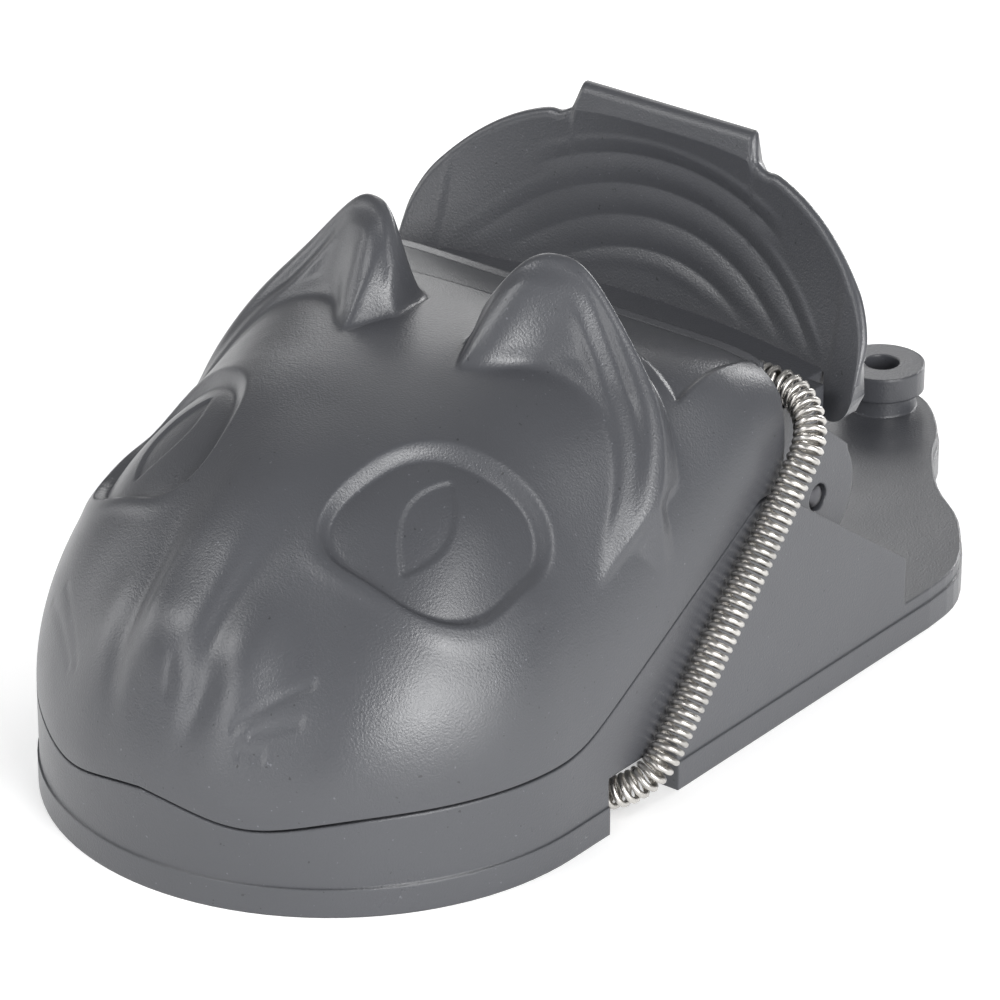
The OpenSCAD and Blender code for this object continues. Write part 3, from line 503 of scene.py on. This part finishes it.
    def panel(self, x, y):
        """Depth of the bare recessed panel behind the ears."""
        front = BACK_Y - PANEL_LENGTH - 0.008 * x * x
        along, across = smooth(0, PANEL_STEP, y - front), smooth(0, PANEL_STEP, PANEL_HALF - abs(x))
        return self.size.panel_depth * along * across

    def ear_height(self, a):
        """Height of an ear's crest: steep towards the middle, falling off slowly outwards."""
        s = self.size
        inner = s.ear_h * np.exp(-(np.clip(s.ear_x - a, 0, None) / 5.41) ** 3.2) * smooth(3.5, 5.0, a)
        fall = bell(a - s.ear_x, 5.5)
        outer = EAR_OUTER_H + (s.ear_h - EAR_OUTER_H) * fall - 0.33 * smooth(15, 21, a)
        return np.where(a < s.ear_x, inner, outer * smooth(EAR_END_X, EAR_FADE_X, a))

    @staticmethod
    def crest_y(x):
        """Where the ears' crest runs: foremost over the eyes, further forward at both ends of an ear."""
        a = np.clip(abs(x), 4, 23)
        return EAR_Y - 0.028 * (a - 14.2) ** 2 - 2.07 * np.exp((4 - a) / 2.11) - 1.83 * np.exp((a - 22) / 1.83)

    @staticmethod
    def ear_section(a, v):
        """Share of an ear's height at a distance from its crest: round top, straight face, clear foot."""
        front = (4.4 + 1.5 * bell(a - 7.6, 2.3)) * smooth(3.4, 6.4, a) * smooth(25.4, 21.5, a)
        back = 2.23 - 0.77 * smooth(10, 17, a)
        t = np.where(v < 0, -v / np.maximum(front, 0.8), v / back)
        straight = 1 - (np.sqrt(t * t + 0.05) - 0.22) / 0.8
        return np.logaddexp(0, straight / 0.05) * 0.05

    def ears(self, x, y):
        """Rise of the ears, and the relief on their cupped front faces."""
        a = abs(x)
        h = 2 * SLOPE_STEP
        slope = (self.crest_y(x + h) - self.crest_y(x - h)) / (2 * h)
        v = (y - self.crest_y(x)) / np.sqrt(1 + slope ** 2)
        height = self.ear_height(a)
        rise = height * self.ear_section(a, v)
        below = np.hypot(v, height - rise)
        cup = -self.size.ear_cup * smooth(0.5, 3.0, below)
        pillow = PILLOW_RISE * bell(a - self.size.ear_x + 0.6, 3.2) * smooth(1.2, 3, below)
        groove = below - 1.9 - 0.2 * (a - 13)
        fold = EAR_FOLD_RISE * (bell(groove - 1.6, 1.1) - bell(groove, 1.1)) * smooth(11, 14, a)
        return rise, (cup + pillow + fold) * (v < 0) * smooth(0.3, 1.6, rise)

    def surface(self, x, y):
        """The head's outside: the dome with its relief along the normal and its ears."""
        n = self.normal(x, y)
        relief = self.snout(x, y) + self.eyes(x, y) + self.whiskers(x, y)
        rise, face = self.ears(x, y)
        up = n + EAR_LEAN
        up /= np.linalg.norm(up, axis=-1, keepdims=True)
        point = np.stack([x, y, self.dome(x, y) - self.panel(x, y)], axis=-1)
        return point + n * relief[..., None] + up * rise[..., None] + EAR_FACE_WAY * face[..., None]


def head_plan(columns, rows, head):
    """Plan of the head: rows round at the front, bowed along the ears' crest, straight at the back."""
    crest_d = HALF_W + EAR_Y - NOSE_Y

    def across(u):
        """Density of the columns, which crowd at both sides."""
        return 1 + 2.5 * bell(1 - abs(u), 0.05)

    def down(d):
        """Density of the rows, which crowd at the front, at the snout and at the ears' crest."""
        return 1 + 3.0 * bell(d, 1.6) + 3.4 * bell(d - crest_d + 1.0, 2.2) + 0.5 * bell(d - 20, 9)

    u = spaced(across, -1, 1, columns)[None, :]
    d = spaced(down, 0, HALF_W + BACK_Y - NOSE_Y, rows)[:, None]
    v = np.clip(d / HALF_W - 1, -1, 0)
    crest = head.crest_y(WALL_W * u)
    brow = NOSE_Y + (crest - NOSE_Y) * (d - HALF_W) / (crest_d - HALF_W)
    rear = crest + (BACK_Y - crest) * (d - crest_d) / (HALF_W + BACK_Y - NOSE_Y - crest_d)
    y = np.where(d < HALF_W, NOSE_Y + WALL_W * v * np.sqrt(1 - u * u / 2), np.where(d < crest_d, brow, rear))
    corner_turn = smooth(BACK_Y - 2.4, BACK_Y, y)
    half_w = WALL_W - CORNER_R * (1 - np.sqrt(1 - corner_turn ** 2))
    x = u * np.sqrt(1 - v * v / 2) * half_w
    return x, y


class TRAP_OT_head(bpy.types.Operator):
    """Model the cat's head with its ears, eyes, snout, whiskers and bare panel"""

    bl_idname = "trap.head"
    bl_label = "Head"

    def execute(self, context):
        size = context.scene.trap_head
        head = Head(size)
        x, y = head_plan(size.columns, size.rows, head)
        outer = head.surface(x, y)
        rim = np.stack([x, y, head.dome(x, y)], axis=-1)
        outer[0], outer[:, 0], outer[:, -1] = rim[0], rim[:, 0], rim[:, -1]
        share = (WALL_W - size.shell_t) / WALL_W
        xi, yi = x[::LINING, ::LINING] * share, y[::LINING, ::LINING]
        yi = np.where(yi < NOSE_Y, NOSE_Y + (yi - NOSE_Y) * share, yi)
        inner = np.stack([xi, yi, head.dome(xi, yi, size.shell_t)], axis=-1)
        for edge in (inner[0], inner[:, 0], inner[:, -1]):
            edge[..., 2] += RIM_LAP
        piece = walled("cat_head", outer, inner, LINING, "jaw")
        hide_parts("jaw_shell")
        return {"FINISHED"}


# ---- The press lever -----------------------------------------------------------------------------


class LeverSettings(bpy.types.PropertyGroup):
    lean: FloatProperty(name="Lean", default=math.radians(21.3), subtype="ANGLE", description="Backward lean")
    wall: FloatProperty(name="Wall", default=2.0, description="Thickness of the lever's wall, in mm")
    hollow: FloatProperty(name="Hollow", default=4.0, description="Depth of the finger hollow, in mm")
    tab_w: FloatProperty(name="Tab width", default=18.6, description="Width of the thumb tab, in mm")
    tab_rise: FloatProperty(name="Tab rise", default=1.8, description="Height of the tab over the rim, in mm")
    ripple_pitch: FloatProperty(name="Ripple pitch", default=2.75, description="Distance of two ripples, in mm")
    ripple_rise: FloatProperty(name="Ripple height", default=0.3, description="Height of the ripples, in mm")


FOOT_Y, FOOT_HALF = BACK_Y + 8.5, 20.75         # front and half width of the lever's foot, in millimetres
LEVER_COLUMNS, LEVER_ROWS = 240, 152            # of its fine mesh, multiples of 4
LEVER_CORNER_R, RIM_FALL = 2.2, 10.65           # rounding of its corners, and fall of its rim to the sides
NOTCH_DEPTH, RIM_R = 0.35, 0.7                  # notches beside the tab, and rounding of the rim
ARC_DROP, ARC_ZERO = 15, 27.0                   # depth of the ripples' centre, and radius of one groove
ARC_INNER, ARC_OUTER = 16.5, 28.9               # radii between which the ripples lie


class TRAP_OT_lever(bpy.types.Operator):
    """Model the press lever with its hollow, ripples, rounded rim and thumb tab"""

    bl_idname = "trap.lever"
    bl_label = "Press lever"

    def execute(self, context):
        s = context.scene.trap_lever
        half, flank_h, tab_half = corner("press_lever", 1, 0), corner("press_lever", 0, 2), s.tab_w / 2
        even = np.linspace(-1, 1, LEVER_COLUMNS + 1)
        x = (half * (0.35 * np.sin(even * math.pi / 2) + 0.65 * even))[None, :] * np.ones((LEVER_ROWS + 1, 1))
        a = abs(x)
        to_side = np.clip((a - half) / LEVER_CORNER_R + 1, 0, 1)
        turn = LEVER_CORNER_R * (1 - np.sqrt(1 - to_side ** 2))
        rim = LEVER_TOP - s.tab_rise - RIM_FALL * (a / half) ** 3.2 - turn
        notch = NOTCH_DEPTH * bell(a - tab_half - 1.7, 0.8)
        top = rim - notch + (LEVER_TOP - rim + notch) * smooth(tab_half + 0.7, tab_half - 0.15, a)
        low = SADDLE_H - (SADDLE_H - flank_h) * smooth(FOOT_HALF, FOOT_HALF + 1.1, a) + turn
        z = low + (top - low) * np.linspace(0, 1, LEVER_ROWS + 1)[:, None]
        t = np.clip((z - low) / (rim - low), 0, 1)
        hollow = s.hollow * (1 - (x / HALF_W) ** 2) * (1 - t ** 2.2)
        front = FOOT_Y + (z - SADDLE_H) * math.tan(s.lean) + hollow
        edge = (top - z) / np.sqrt(1 + np.gradient(top, axis=1) ** 2 / np.gradient(x, axis=1) ** 2)
        to_rim = np.clip(1 - edge / 0.8, 0, 1)
        rounding = RIM_R * (1 - np.sqrt(np.clip(1 - to_rim ** 2, 0, 1)))
        face = np.stack([x, front - self.ripples(s, x, z, half) + rounding, z], axis=-1)
        inset = 1.1 * t
        back = np.stack([x * (1 - inset / half), front + s.wall, z - inset], axis=-1)[::LINING, ::LINING]
        piece = walled("press_lever_moulding", face, back, LINING, "jaw")
        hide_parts("press_lever")
        return {"FINISHED"}

    @staticmethod
    def ripples(s, x, z, half):
        """Rise of the ripples: arcs round a point below the foot, fading at their ends and on the left half."""
        a, up = abs(x), z - SADDLE_H
        r = np.hypot(x, up + ARC_DROP)
        wave = abs(np.sin(math.pi * (r - ARC_ZERO) / s.ripple_pitch)) - 0.6
        ripple = s.ripple_rise * wave * smooth(ARC_INNER, ARC_INNER + 1.5, r) * smooth(ARC_OUTER, 28.2, r)
        ripple = ripple * smooth(0.3, 3.0, up) * smooth(half - 1.5, half - 6, a)
        ripple = ripple * (0.3 + 0.7 * smooth(-12, 8, x))
        return ripple * (1 - smooth(25.6, 26.2, r) * smooth(10.5, 14, a))


# ---- The hinge pin -------------------------------------------------------------------------------


class PinSettings(bpy.types.PropertyGroup):
    dome: FloatProperty(name="Dome", default=0.45, description="Rise of the pin's domed ends, in mm")
    sides: IntProperty(name="Sides", default=48, description="Sides of the pin's section")


class TRAP_OT_pin(bpy.types.Operator):
    """Turn the hinge pin with domed ends that close its holes"""

    bl_idname = "trap.pin"
    bl_label = "Hinge pin"

    def execute(self, context):
        s = context.scene.trap_pin
        reach = corner("hinge_pin", 1, 0)
        radius = (corner("hinge_pin", 1, 2) - corner("hinge_pin", 0, 2)) / 2
        arc = [k * math.pi / 16 for k in range(1, 9)]
        dome = [(reach + s.dome * math.cos(t), radius * math.sin(t)) for t in arc]
        profile = [(-x, r) for x, r in dome] + [(x, r) for x, r in reversed(dome)]
        turns = np.linspace(0, 2 * math.pi, s.sides, endpoint=False)
        points = [(x, HINGE[1] + r * math.cos(t), HINGE[2] + r * math.sin(t))
                  for x, r in profile for t in turns]
        first, last = len(points), len(points) + 1
        points += [(-reach - s.dome, HINGE[1], HINGE[2]), (reach + s.dome, HINGE[1], HINGE[2])]
        n, rings = s.sides, len(profile)
        faces = [(r * n + k, r * n + n + k, r * n + n + (k + 1) % n, r * n + (k + 1) % n)
                 for r in range(rings - 1) for k in range(n)]
        faces += [(first, k, (k + 1) % n) for k in range(n)]
        faces += [(last, (rings - 1) * n + (k + 1) % n, (rings - 1) * n + k) for k in range(n)]
        piece = make_mesh("hinge_pin_turned", points, faces, finish("pin_steel"), "base")
        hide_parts("hinge_pin")
        return {"FINISHED"}


# ---- The spring ----------------------------------------------------------------------------------


class SpringSettings(bpy.types.PropertyGroup):
    wire_d: FloatProperty(name="Wire", default=0.00056, unit="LENGTH",
                          description="Diameter of the spring wire")
    pitch: FloatProperty(name="Pitch", default=0.00079, unit="LENGTH", description="Distance between two turns")
    bend_r: FloatProperty(name="Bend", default=5.5, description="Radius of the bends at the legs' ends, in mm")
    steps: IntProperty(name="Steps", default=22, description="Points of the wire in one turn")
    sides: IntProperty(name="Sides", default=8, description="Sides of the wire's section")


def coil_tree():
    """Winds a round wire about a path at a set diameter and pitch."""
    tree = bpy.data.node_groups.new("wound_coil", "GeometryNodeTree")
    sockets = (("Path", "NodeSocketGeometry", None), ("Coil Radius", "NodeSocketFloat", 0.0012),
               ("Wire Radius", "NodeSocketFloat", 0.0003), ("Pitch", "NodeSocketFloat", 0.0008),
               ("Steps per Turn", "NodeSocketFloat", 20.0), ("Wire Sides", "NodeSocketInt", 8),
               ("Hand", "NodeSocketFloat", 1.0), ("Finish", "NodeSocketMaterial", None))
    for name, kind, value in sockets:
        socket = tree.interface.new_socket(name, in_out="INPUT", socket_type=kind)
        if value is not None:
            socket.default_value = value
    tree.interface.new_socket("Coil", in_out="OUTPUT", socket_type="NodeSocketGeometry")
    new, link = tree.nodes.new, tree.links.new
    given = new("NodeGroupInput").outputs

    def maths(operation, first, second=None):
        node = new("ShaderNodeMath")
        node.operation = operation
        for socket, value in zip(node.inputs, (first, second)):
            if isinstance(value, bpy.types.NodeSocket):
                link(value, socket)
            elif value is not None:
                socket.default_value = value
        return node.outputs[0]

    def vectors(operation, first, second=None, scale=None):
        node = new("ShaderNodeVectorMath")
        node.operation = operation
        link(first, node.inputs[0])
        if second is not None:
            link(second, node.inputs[1])
        if scale is not None:
            link(scale, node.inputs["Scale"])
        return node.outputs[0]

    resample = new("GeometryNodeResampleCurve")
    resample.mode = "LENGTH"
    link(given["Path"], resample.inputs["Curve"])
    link(maths("DIVIDE", given["Pitch"], given["Steps per Turn"]), resample.inputs["Length"])
    along = new("GeometryNodeSplineParameter").outputs["Length"]
    turns = maths("DIVIDE", along, given["Pitch"])
    turn = maths("MULTIPLY", maths("MULTIPLY", turns, 2 * math.pi), given["Hand"])
    tangent = new("GeometryNodeInputTangent").outputs[0]
    normal = new("GeometryNodeInputNormal").outputs[0]
    binormal = vectors("CROSS_PRODUCT", tangent, normal)
    across = vectors("SCALE", normal, scale=maths("MULTIPLY", maths("COSINE", turn), given["Coil Radius"]))
    beside = vectors("SCALE", binormal, scale=maths("MULTIPLY", maths("SINE", turn), given["Coil Radius"]))
    wind = new("GeometryNodeSetPosition")
    link(resample.outputs[0], wind.inputs["Geometry"])
    link(vectors("ADD", across, beside), wind.inputs["Offset"])
    section = new("GeometryNodeCurvePrimitiveCircle")
    link(given["Wire Sides"], section.inputs["Resolution"])
    link(given["Wire Radius"], section.inputs["Radius"])
    sweep = new("GeometryNodeCurveToMesh")
    link(wind.outputs[0], sweep.inputs["Curve"])
    link(section.outputs[0], sweep.inputs["Profile Curve"])
    sweep.inputs["Fill Caps"].default_value = True
    shade = new("GeometryNodeSetShadeSmooth")
    link(sweep.outputs[0], shade.inputs[0])
    real = new("GeometryNodeRealizeInstances")
    link(shade.outputs[0], real.inputs[0])
    dress = new("GeometryNodeSetMaterial")
    link(real.outputs[0], dress.inputs["Geometry"])
    link(given["Finish"], dress.inputs["Material"])
    link(dress.outputs[0], new("NodeGroupOutput").inputs["Coil"])
    return tree


RUN_POINTS, BEND_POINTS = 60, 24                # points of a straight and of a bend in the coil's path


def wound(name, path, settings, hand, tree):
    """A coil wound about a path of points in millimetres, as a plain mesh."""
    curve = bpy.data.curves.new(name + "_path", "CURVE")
    curve.dimensions = "3D"
    curve.twist_mode = "MINIMUM"
    spline = curve.splines.new("POLY")
    spline.points.add(len(path) - 1)
    for point, place in zip(spline.points, path):
        point.co = (*(np.asarray(place) * MM), 1.0)
    guide = bpy.data.objects.new(name + "_path", curve)
    bpy.context.scene.collection.objects.link(guide)
    modifier = guide.modifiers.new("coil", "NODES")
    modifier.node_group = tree
    wire_r = settings.wire_d / 2
    values = {"Coil Radius": COIL_R * MM - wire_r, "Wire Radius": wire_r, "Pitch": settings.pitch,
              "Steps per Turn": float(settings.steps), "Wire Sides": settings.sides, "Hand": hand,
              "Finish": finish("spring_wire")}
    for item in tree.interface.items_tree:
        if item.in_out == "INPUT" and item.name in values:
            modifier[item.identifier] = values[item.name]
    bpy.context.view_layer.update()
    evaluated = guide.evaluated_get(bpy.context.evaluated_depsgraph_get())
    mesh = bpy.data.meshes.new_from_object(evaluated)
    mesh.name = name
    bpy.data.objects.remove(guide)
    piece = bpy.data.objects.new(name, mesh)
    bpy.context.scene.collection.objects.link(piece)
    return piece


class TRAP_OT_spring(bpy.types.Operator):
    """Wind the spring: two cross runs and two legs with their bends"""

    bl_idname = "trap.spring"
    bl_label = "Spring"

    def execute(self, context):
        s = context.scene.trap_spring
        tree = coil_tree()
        runs = (("spring_lower_coil", LOWER_RUN, "spring_lower_run", "base"),
                ("spring_upper_coil", UPPER_RUN, "spring_upper_run", "jaw"))
        for name, centre, node, body in runs:
            path = [(x, centre[1], centre[2]) for x in np.linspace(-RUN_HALF, RUN_HALF, RUN_POINTS)]
            piece = wound(name, path, s, 1.0, tree)
            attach(piece, body)
            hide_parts(node)
        reach = np.array(UPPER_RUN[1:]) - LOWER_RUN[1:]
        length = np.hypot(*reach)
        unit = reach / length
        for side, hand, word in ((1, 1.0, "right"), (-1, -1.0, "left")):
            path = self.leg_path(side, s.bend_r, length, unit)
            piece = wound(f"spring_leg_{word}", path, s, hand, tree)
            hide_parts(f"spring_leg_lower_{word}", f"spring_leg_upper_{word}")
            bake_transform(piece)
        return {"FINISHED"}

    @staticmethod
    def leg_path(side, bend_r, length, unit):
        """Centre line of a leg: a bend out of the lower run, the straight, a bend into the upper run."""
        turns = np.linspace(0, math.pi / 2, BEND_POINTS)
        lower = [(LEG_X - bend_r * (1 - math.sin(a)), bend_r * (1 - math.cos(a))) for a in turns]
        upper = [(LEG_X - bend_r * (1 - math.cos(a)), length - bend_r * (1 - math.sin(a))) for a in turns]
        straight = [(LEG_X, d) for d in np.linspace(bend_r, length - bend_r, RUN_POINTS)[1:-1]]
        return [(side * x, *(LOWER_RUN[1:] + unit * d)) for x, d in lower + straight + upper]


# ---- The stage -----------------------------------------------------------------------------------


class StageSettings(bpy.types.PropertyGroup):
    floor: FloatVectorProperty(name="Floor", description="Colour of the floor", subtype="COLOR",
                               default=(0.9, 0.9, 0.9))
    azimuth: FloatProperty(name="Azimuth", description="Camera's turn from the front of the snout",
                           default=math.radians(38.05), subtype="ANGLE")
    elevation: FloatProperty(name="Elevation", description="Camera's rise over the floor",
                             default=math.radians(26.51), subtype="ANGLE")
    distance: FloatProperty(name="Distance", default=0.511, unit="LENGTH", description="Camera from its target")
    lens: FloatProperty(name="Lens", default=214.13, description="Focal length on a 36 mm sensor")
    glow: FloatProperty(name="Floor glow", default=0.32, description="Light that the floor gives off by itself")
    key: FloatProperty(name="Key lights", default=1.9, description="Power of the key lights in watts")
    fill: FloatProperty(name="Fill lights", default=2.5, description="Power of the fill lights in watts")
    room: FloatProperty(name="Room", default=0.25, description="Brightness of the room round the trap")


CAMERA_TARGET = Vector((-1.6, -5.1, 15.0)) * MM
SENSOR_W = 36.0                                 # width of the camera's sensor, in millimetres
LAMP_TARGET = Vector((0, -0.01, 0.02))          # in metres, as are the next two and the boxes' sizes
LAMP_DISTANCE = 0.7
FLOOR_HALF = 6.0
# Each box: name, azimuth and elevation in degrees, size, the setting that powers it and its share of that.
SOFT_BOXES = (
    ("key_low", 84, 10, (0.3, 0.24), "key", 0.85),
    ("key_main", 62, 15, (0.25, 0.2), "key", 1.25),
    ("key_upper", 70, 30, (0.2, 0.2), "key", 0.5),
    ("key_high", 85, 44, (0.25, 0.25), "key", 0.35),
    ("fill_left", -30, 42, (0.3, 0.3), "fill", 0.6),
    ("fill_front", 0, 14, (0.3, 0.3), "fill", 0.4),
    ("fill_side", -68, 14, (0.3, 0.3), "fill", 0.35),
    ("rim_back", 180, 18, (0.3, 0.3), "fill", 1.1),
    ("rim_low", -138, 20, (0.3, 0.3), "fill", 0.25),
    ("rim_top", -140, 50, (0.3, 0.3), "fill", 0.07),
)


def toward(azimuth, elevation):
    """Direction from the trap at an azimuth and an elevation in degrees; azimuth 0 is in front of the snout."""
    turn, rise = math.radians(azimuth), math.radians(elevation)
    return Vector((math.sin(turn) * math.cos(rise), -math.cos(turn) * math.cos(rise), math.sin(rise)))


def soft_light(name, place, target, size, power):
    """A square soft box at place, aimed at target, both in metres."""
    lamp = bpy.data.lights.new(name, "AREA")
    lamp.shape = "RECTANGLE"
    lamp.size, lamp.size_y = size
    lamp.energy = power
    box = bpy.data.objects.new(name, lamp)
    box.location = place
    box.rotation_euler = (Vector(target) - Vector(place)).to_track_quat("-Z", "Y").to_euler()
    bpy.context.scene.collection.objects.link(box)


class TRAP_OT_stage(bpy.types.Operator):
    """Set the camera, the soft lights and the pale floor"""

    bl_idname = "trap.stage"
    bl_label = "Stage"

    def execute(self, context):
        s = context.scene.trap_stage
        away = toward(math.degrees(s.azimuth), math.degrees(s.elevation))
        lens = bpy.data.cameras.new("camera")
        lens.lens, lens.sensor_width = s.lens, SENSOR_W
        lens.clip_start, lens.clip_end = 0.01, 20.0
        camera = bpy.data.objects.new("camera", lens)
        camera.location = CAMERA_TARGET + away * s.distance
        camera.rotation_euler = (-away).to_track_quat("-Z", "Y").to_euler()
        context.scene.collection.objects.link(camera)
        context.scene.camera = camera
        for name, azimuth, elevation, size, power, share in SOFT_BOXES:
            place = LAMP_TARGET + toward(azimuth, elevation) * LAMP_DISTANCE
            soft_light(name, place, LAMP_TARGET, size, share * getattr(s, power))
        context.scene.world = self.surround(s)
        context.scene.view_settings.view_transform = "Standard"
        mesh = bpy.data.meshes.new("floor")
        corners = [(x * FLOOR_HALF, y * FLOOR_HALF, 0) for x, y in ((-1, -1), (1, -1), (1, 1), (-1, 1))]
        mesh.from_pydata(corners, [], [(0, 1, 2, 3)])
        mesh.materials.append(self.paper(s))
        floor = bpy.data.objects.new("floor", mesh)
        context.scene.collection.objects.link(floor)
        return {"FINISHED"}

    @staticmethod
    def paper(s):
        """Pale mottled paper with a glow of its own."""
        paper = Shader("floor_paper")
        tone = paper.blend(paper.noise(4, 2), shade_of(s.floor, 0.985), s.floor)
        paper.link(tone, paper.surface.inputs["Base Color"])
        paper.surface.inputs["Roughness"].default_value = 0.9
        paper.surface.inputs["Emission Color"].default_value = (1, 1, 1, 1)
        paper.surface.inputs["Emission Strength"].default_value = s.glow
        return paper.material

    @staticmethod
    def surround(s):
        """A dim even room, so the soft boxes shape the plastic."""
        world = bpy.data.worlds.new("studio")
        world.use_nodes = True
        light = world.node_tree.nodes["Background"]
        light.inputs["Color"].default_value = (1, 1, 1, 1)
        light.inputs["Strength"].default_value = s.room
        return world


# ---- Add-on --------------------------------------------------------------------------------------


class TRAP_PT_panel(bpy.types.Panel):
    """Lists the trap's pieces"""

    bl_idname = "TRAP_PT_panel"
    bl_label = "Snap Trap"
    bl_space_type = "VIEW_3D"
    bl_region_type = "UI"
    bl_category = "Snap Trap"

    def draw(self, context):
        for step in STEPS:
            self.layout.operator(step.bl_idname)


STEPS = (TRAP_OT_finishes, TRAP_OT_head, TRAP_OT_lever, TRAP_OT_pin, TRAP_OT_spring, TRAP_OT_stage)
SETTINGS = {"trap_finish": FinishSettings, "trap_head": HeadSettings, "trap_lever": LeverSettings,
            "trap_pin": PinSettings, "trap_spring": SpringSettings, "trap_stage": StageSettings}


def register():
    for name, group in SETTINGS.items():
        bpy.utils.register_class(group)
        setattr(bpy.types.Scene, name, PointerProperty(type=group))
    for item in (*STEPS, TRAP_PT_panel):
        bpy.utils.register_class(item)


def unregister():
    for item in (TRAP_PT_panel, *reversed(STEPS)):
        bpy.utils.unregister_class(item)
    for name, group in SETTINGS.items():
        delattr(bpy.types.Scene, name)
        bpy.utils.unregister_class(group)


def main():
    register()
    bpy.ops.trap.finishes()
    bpy.ops.trap.head()
    bpy.ops.trap.lever()
    bpy.ops.trap.pin()
    bpy.ops.trap.spring()
    bpy.ops.trap.stage()


if __name__ == "__main__":
    main()
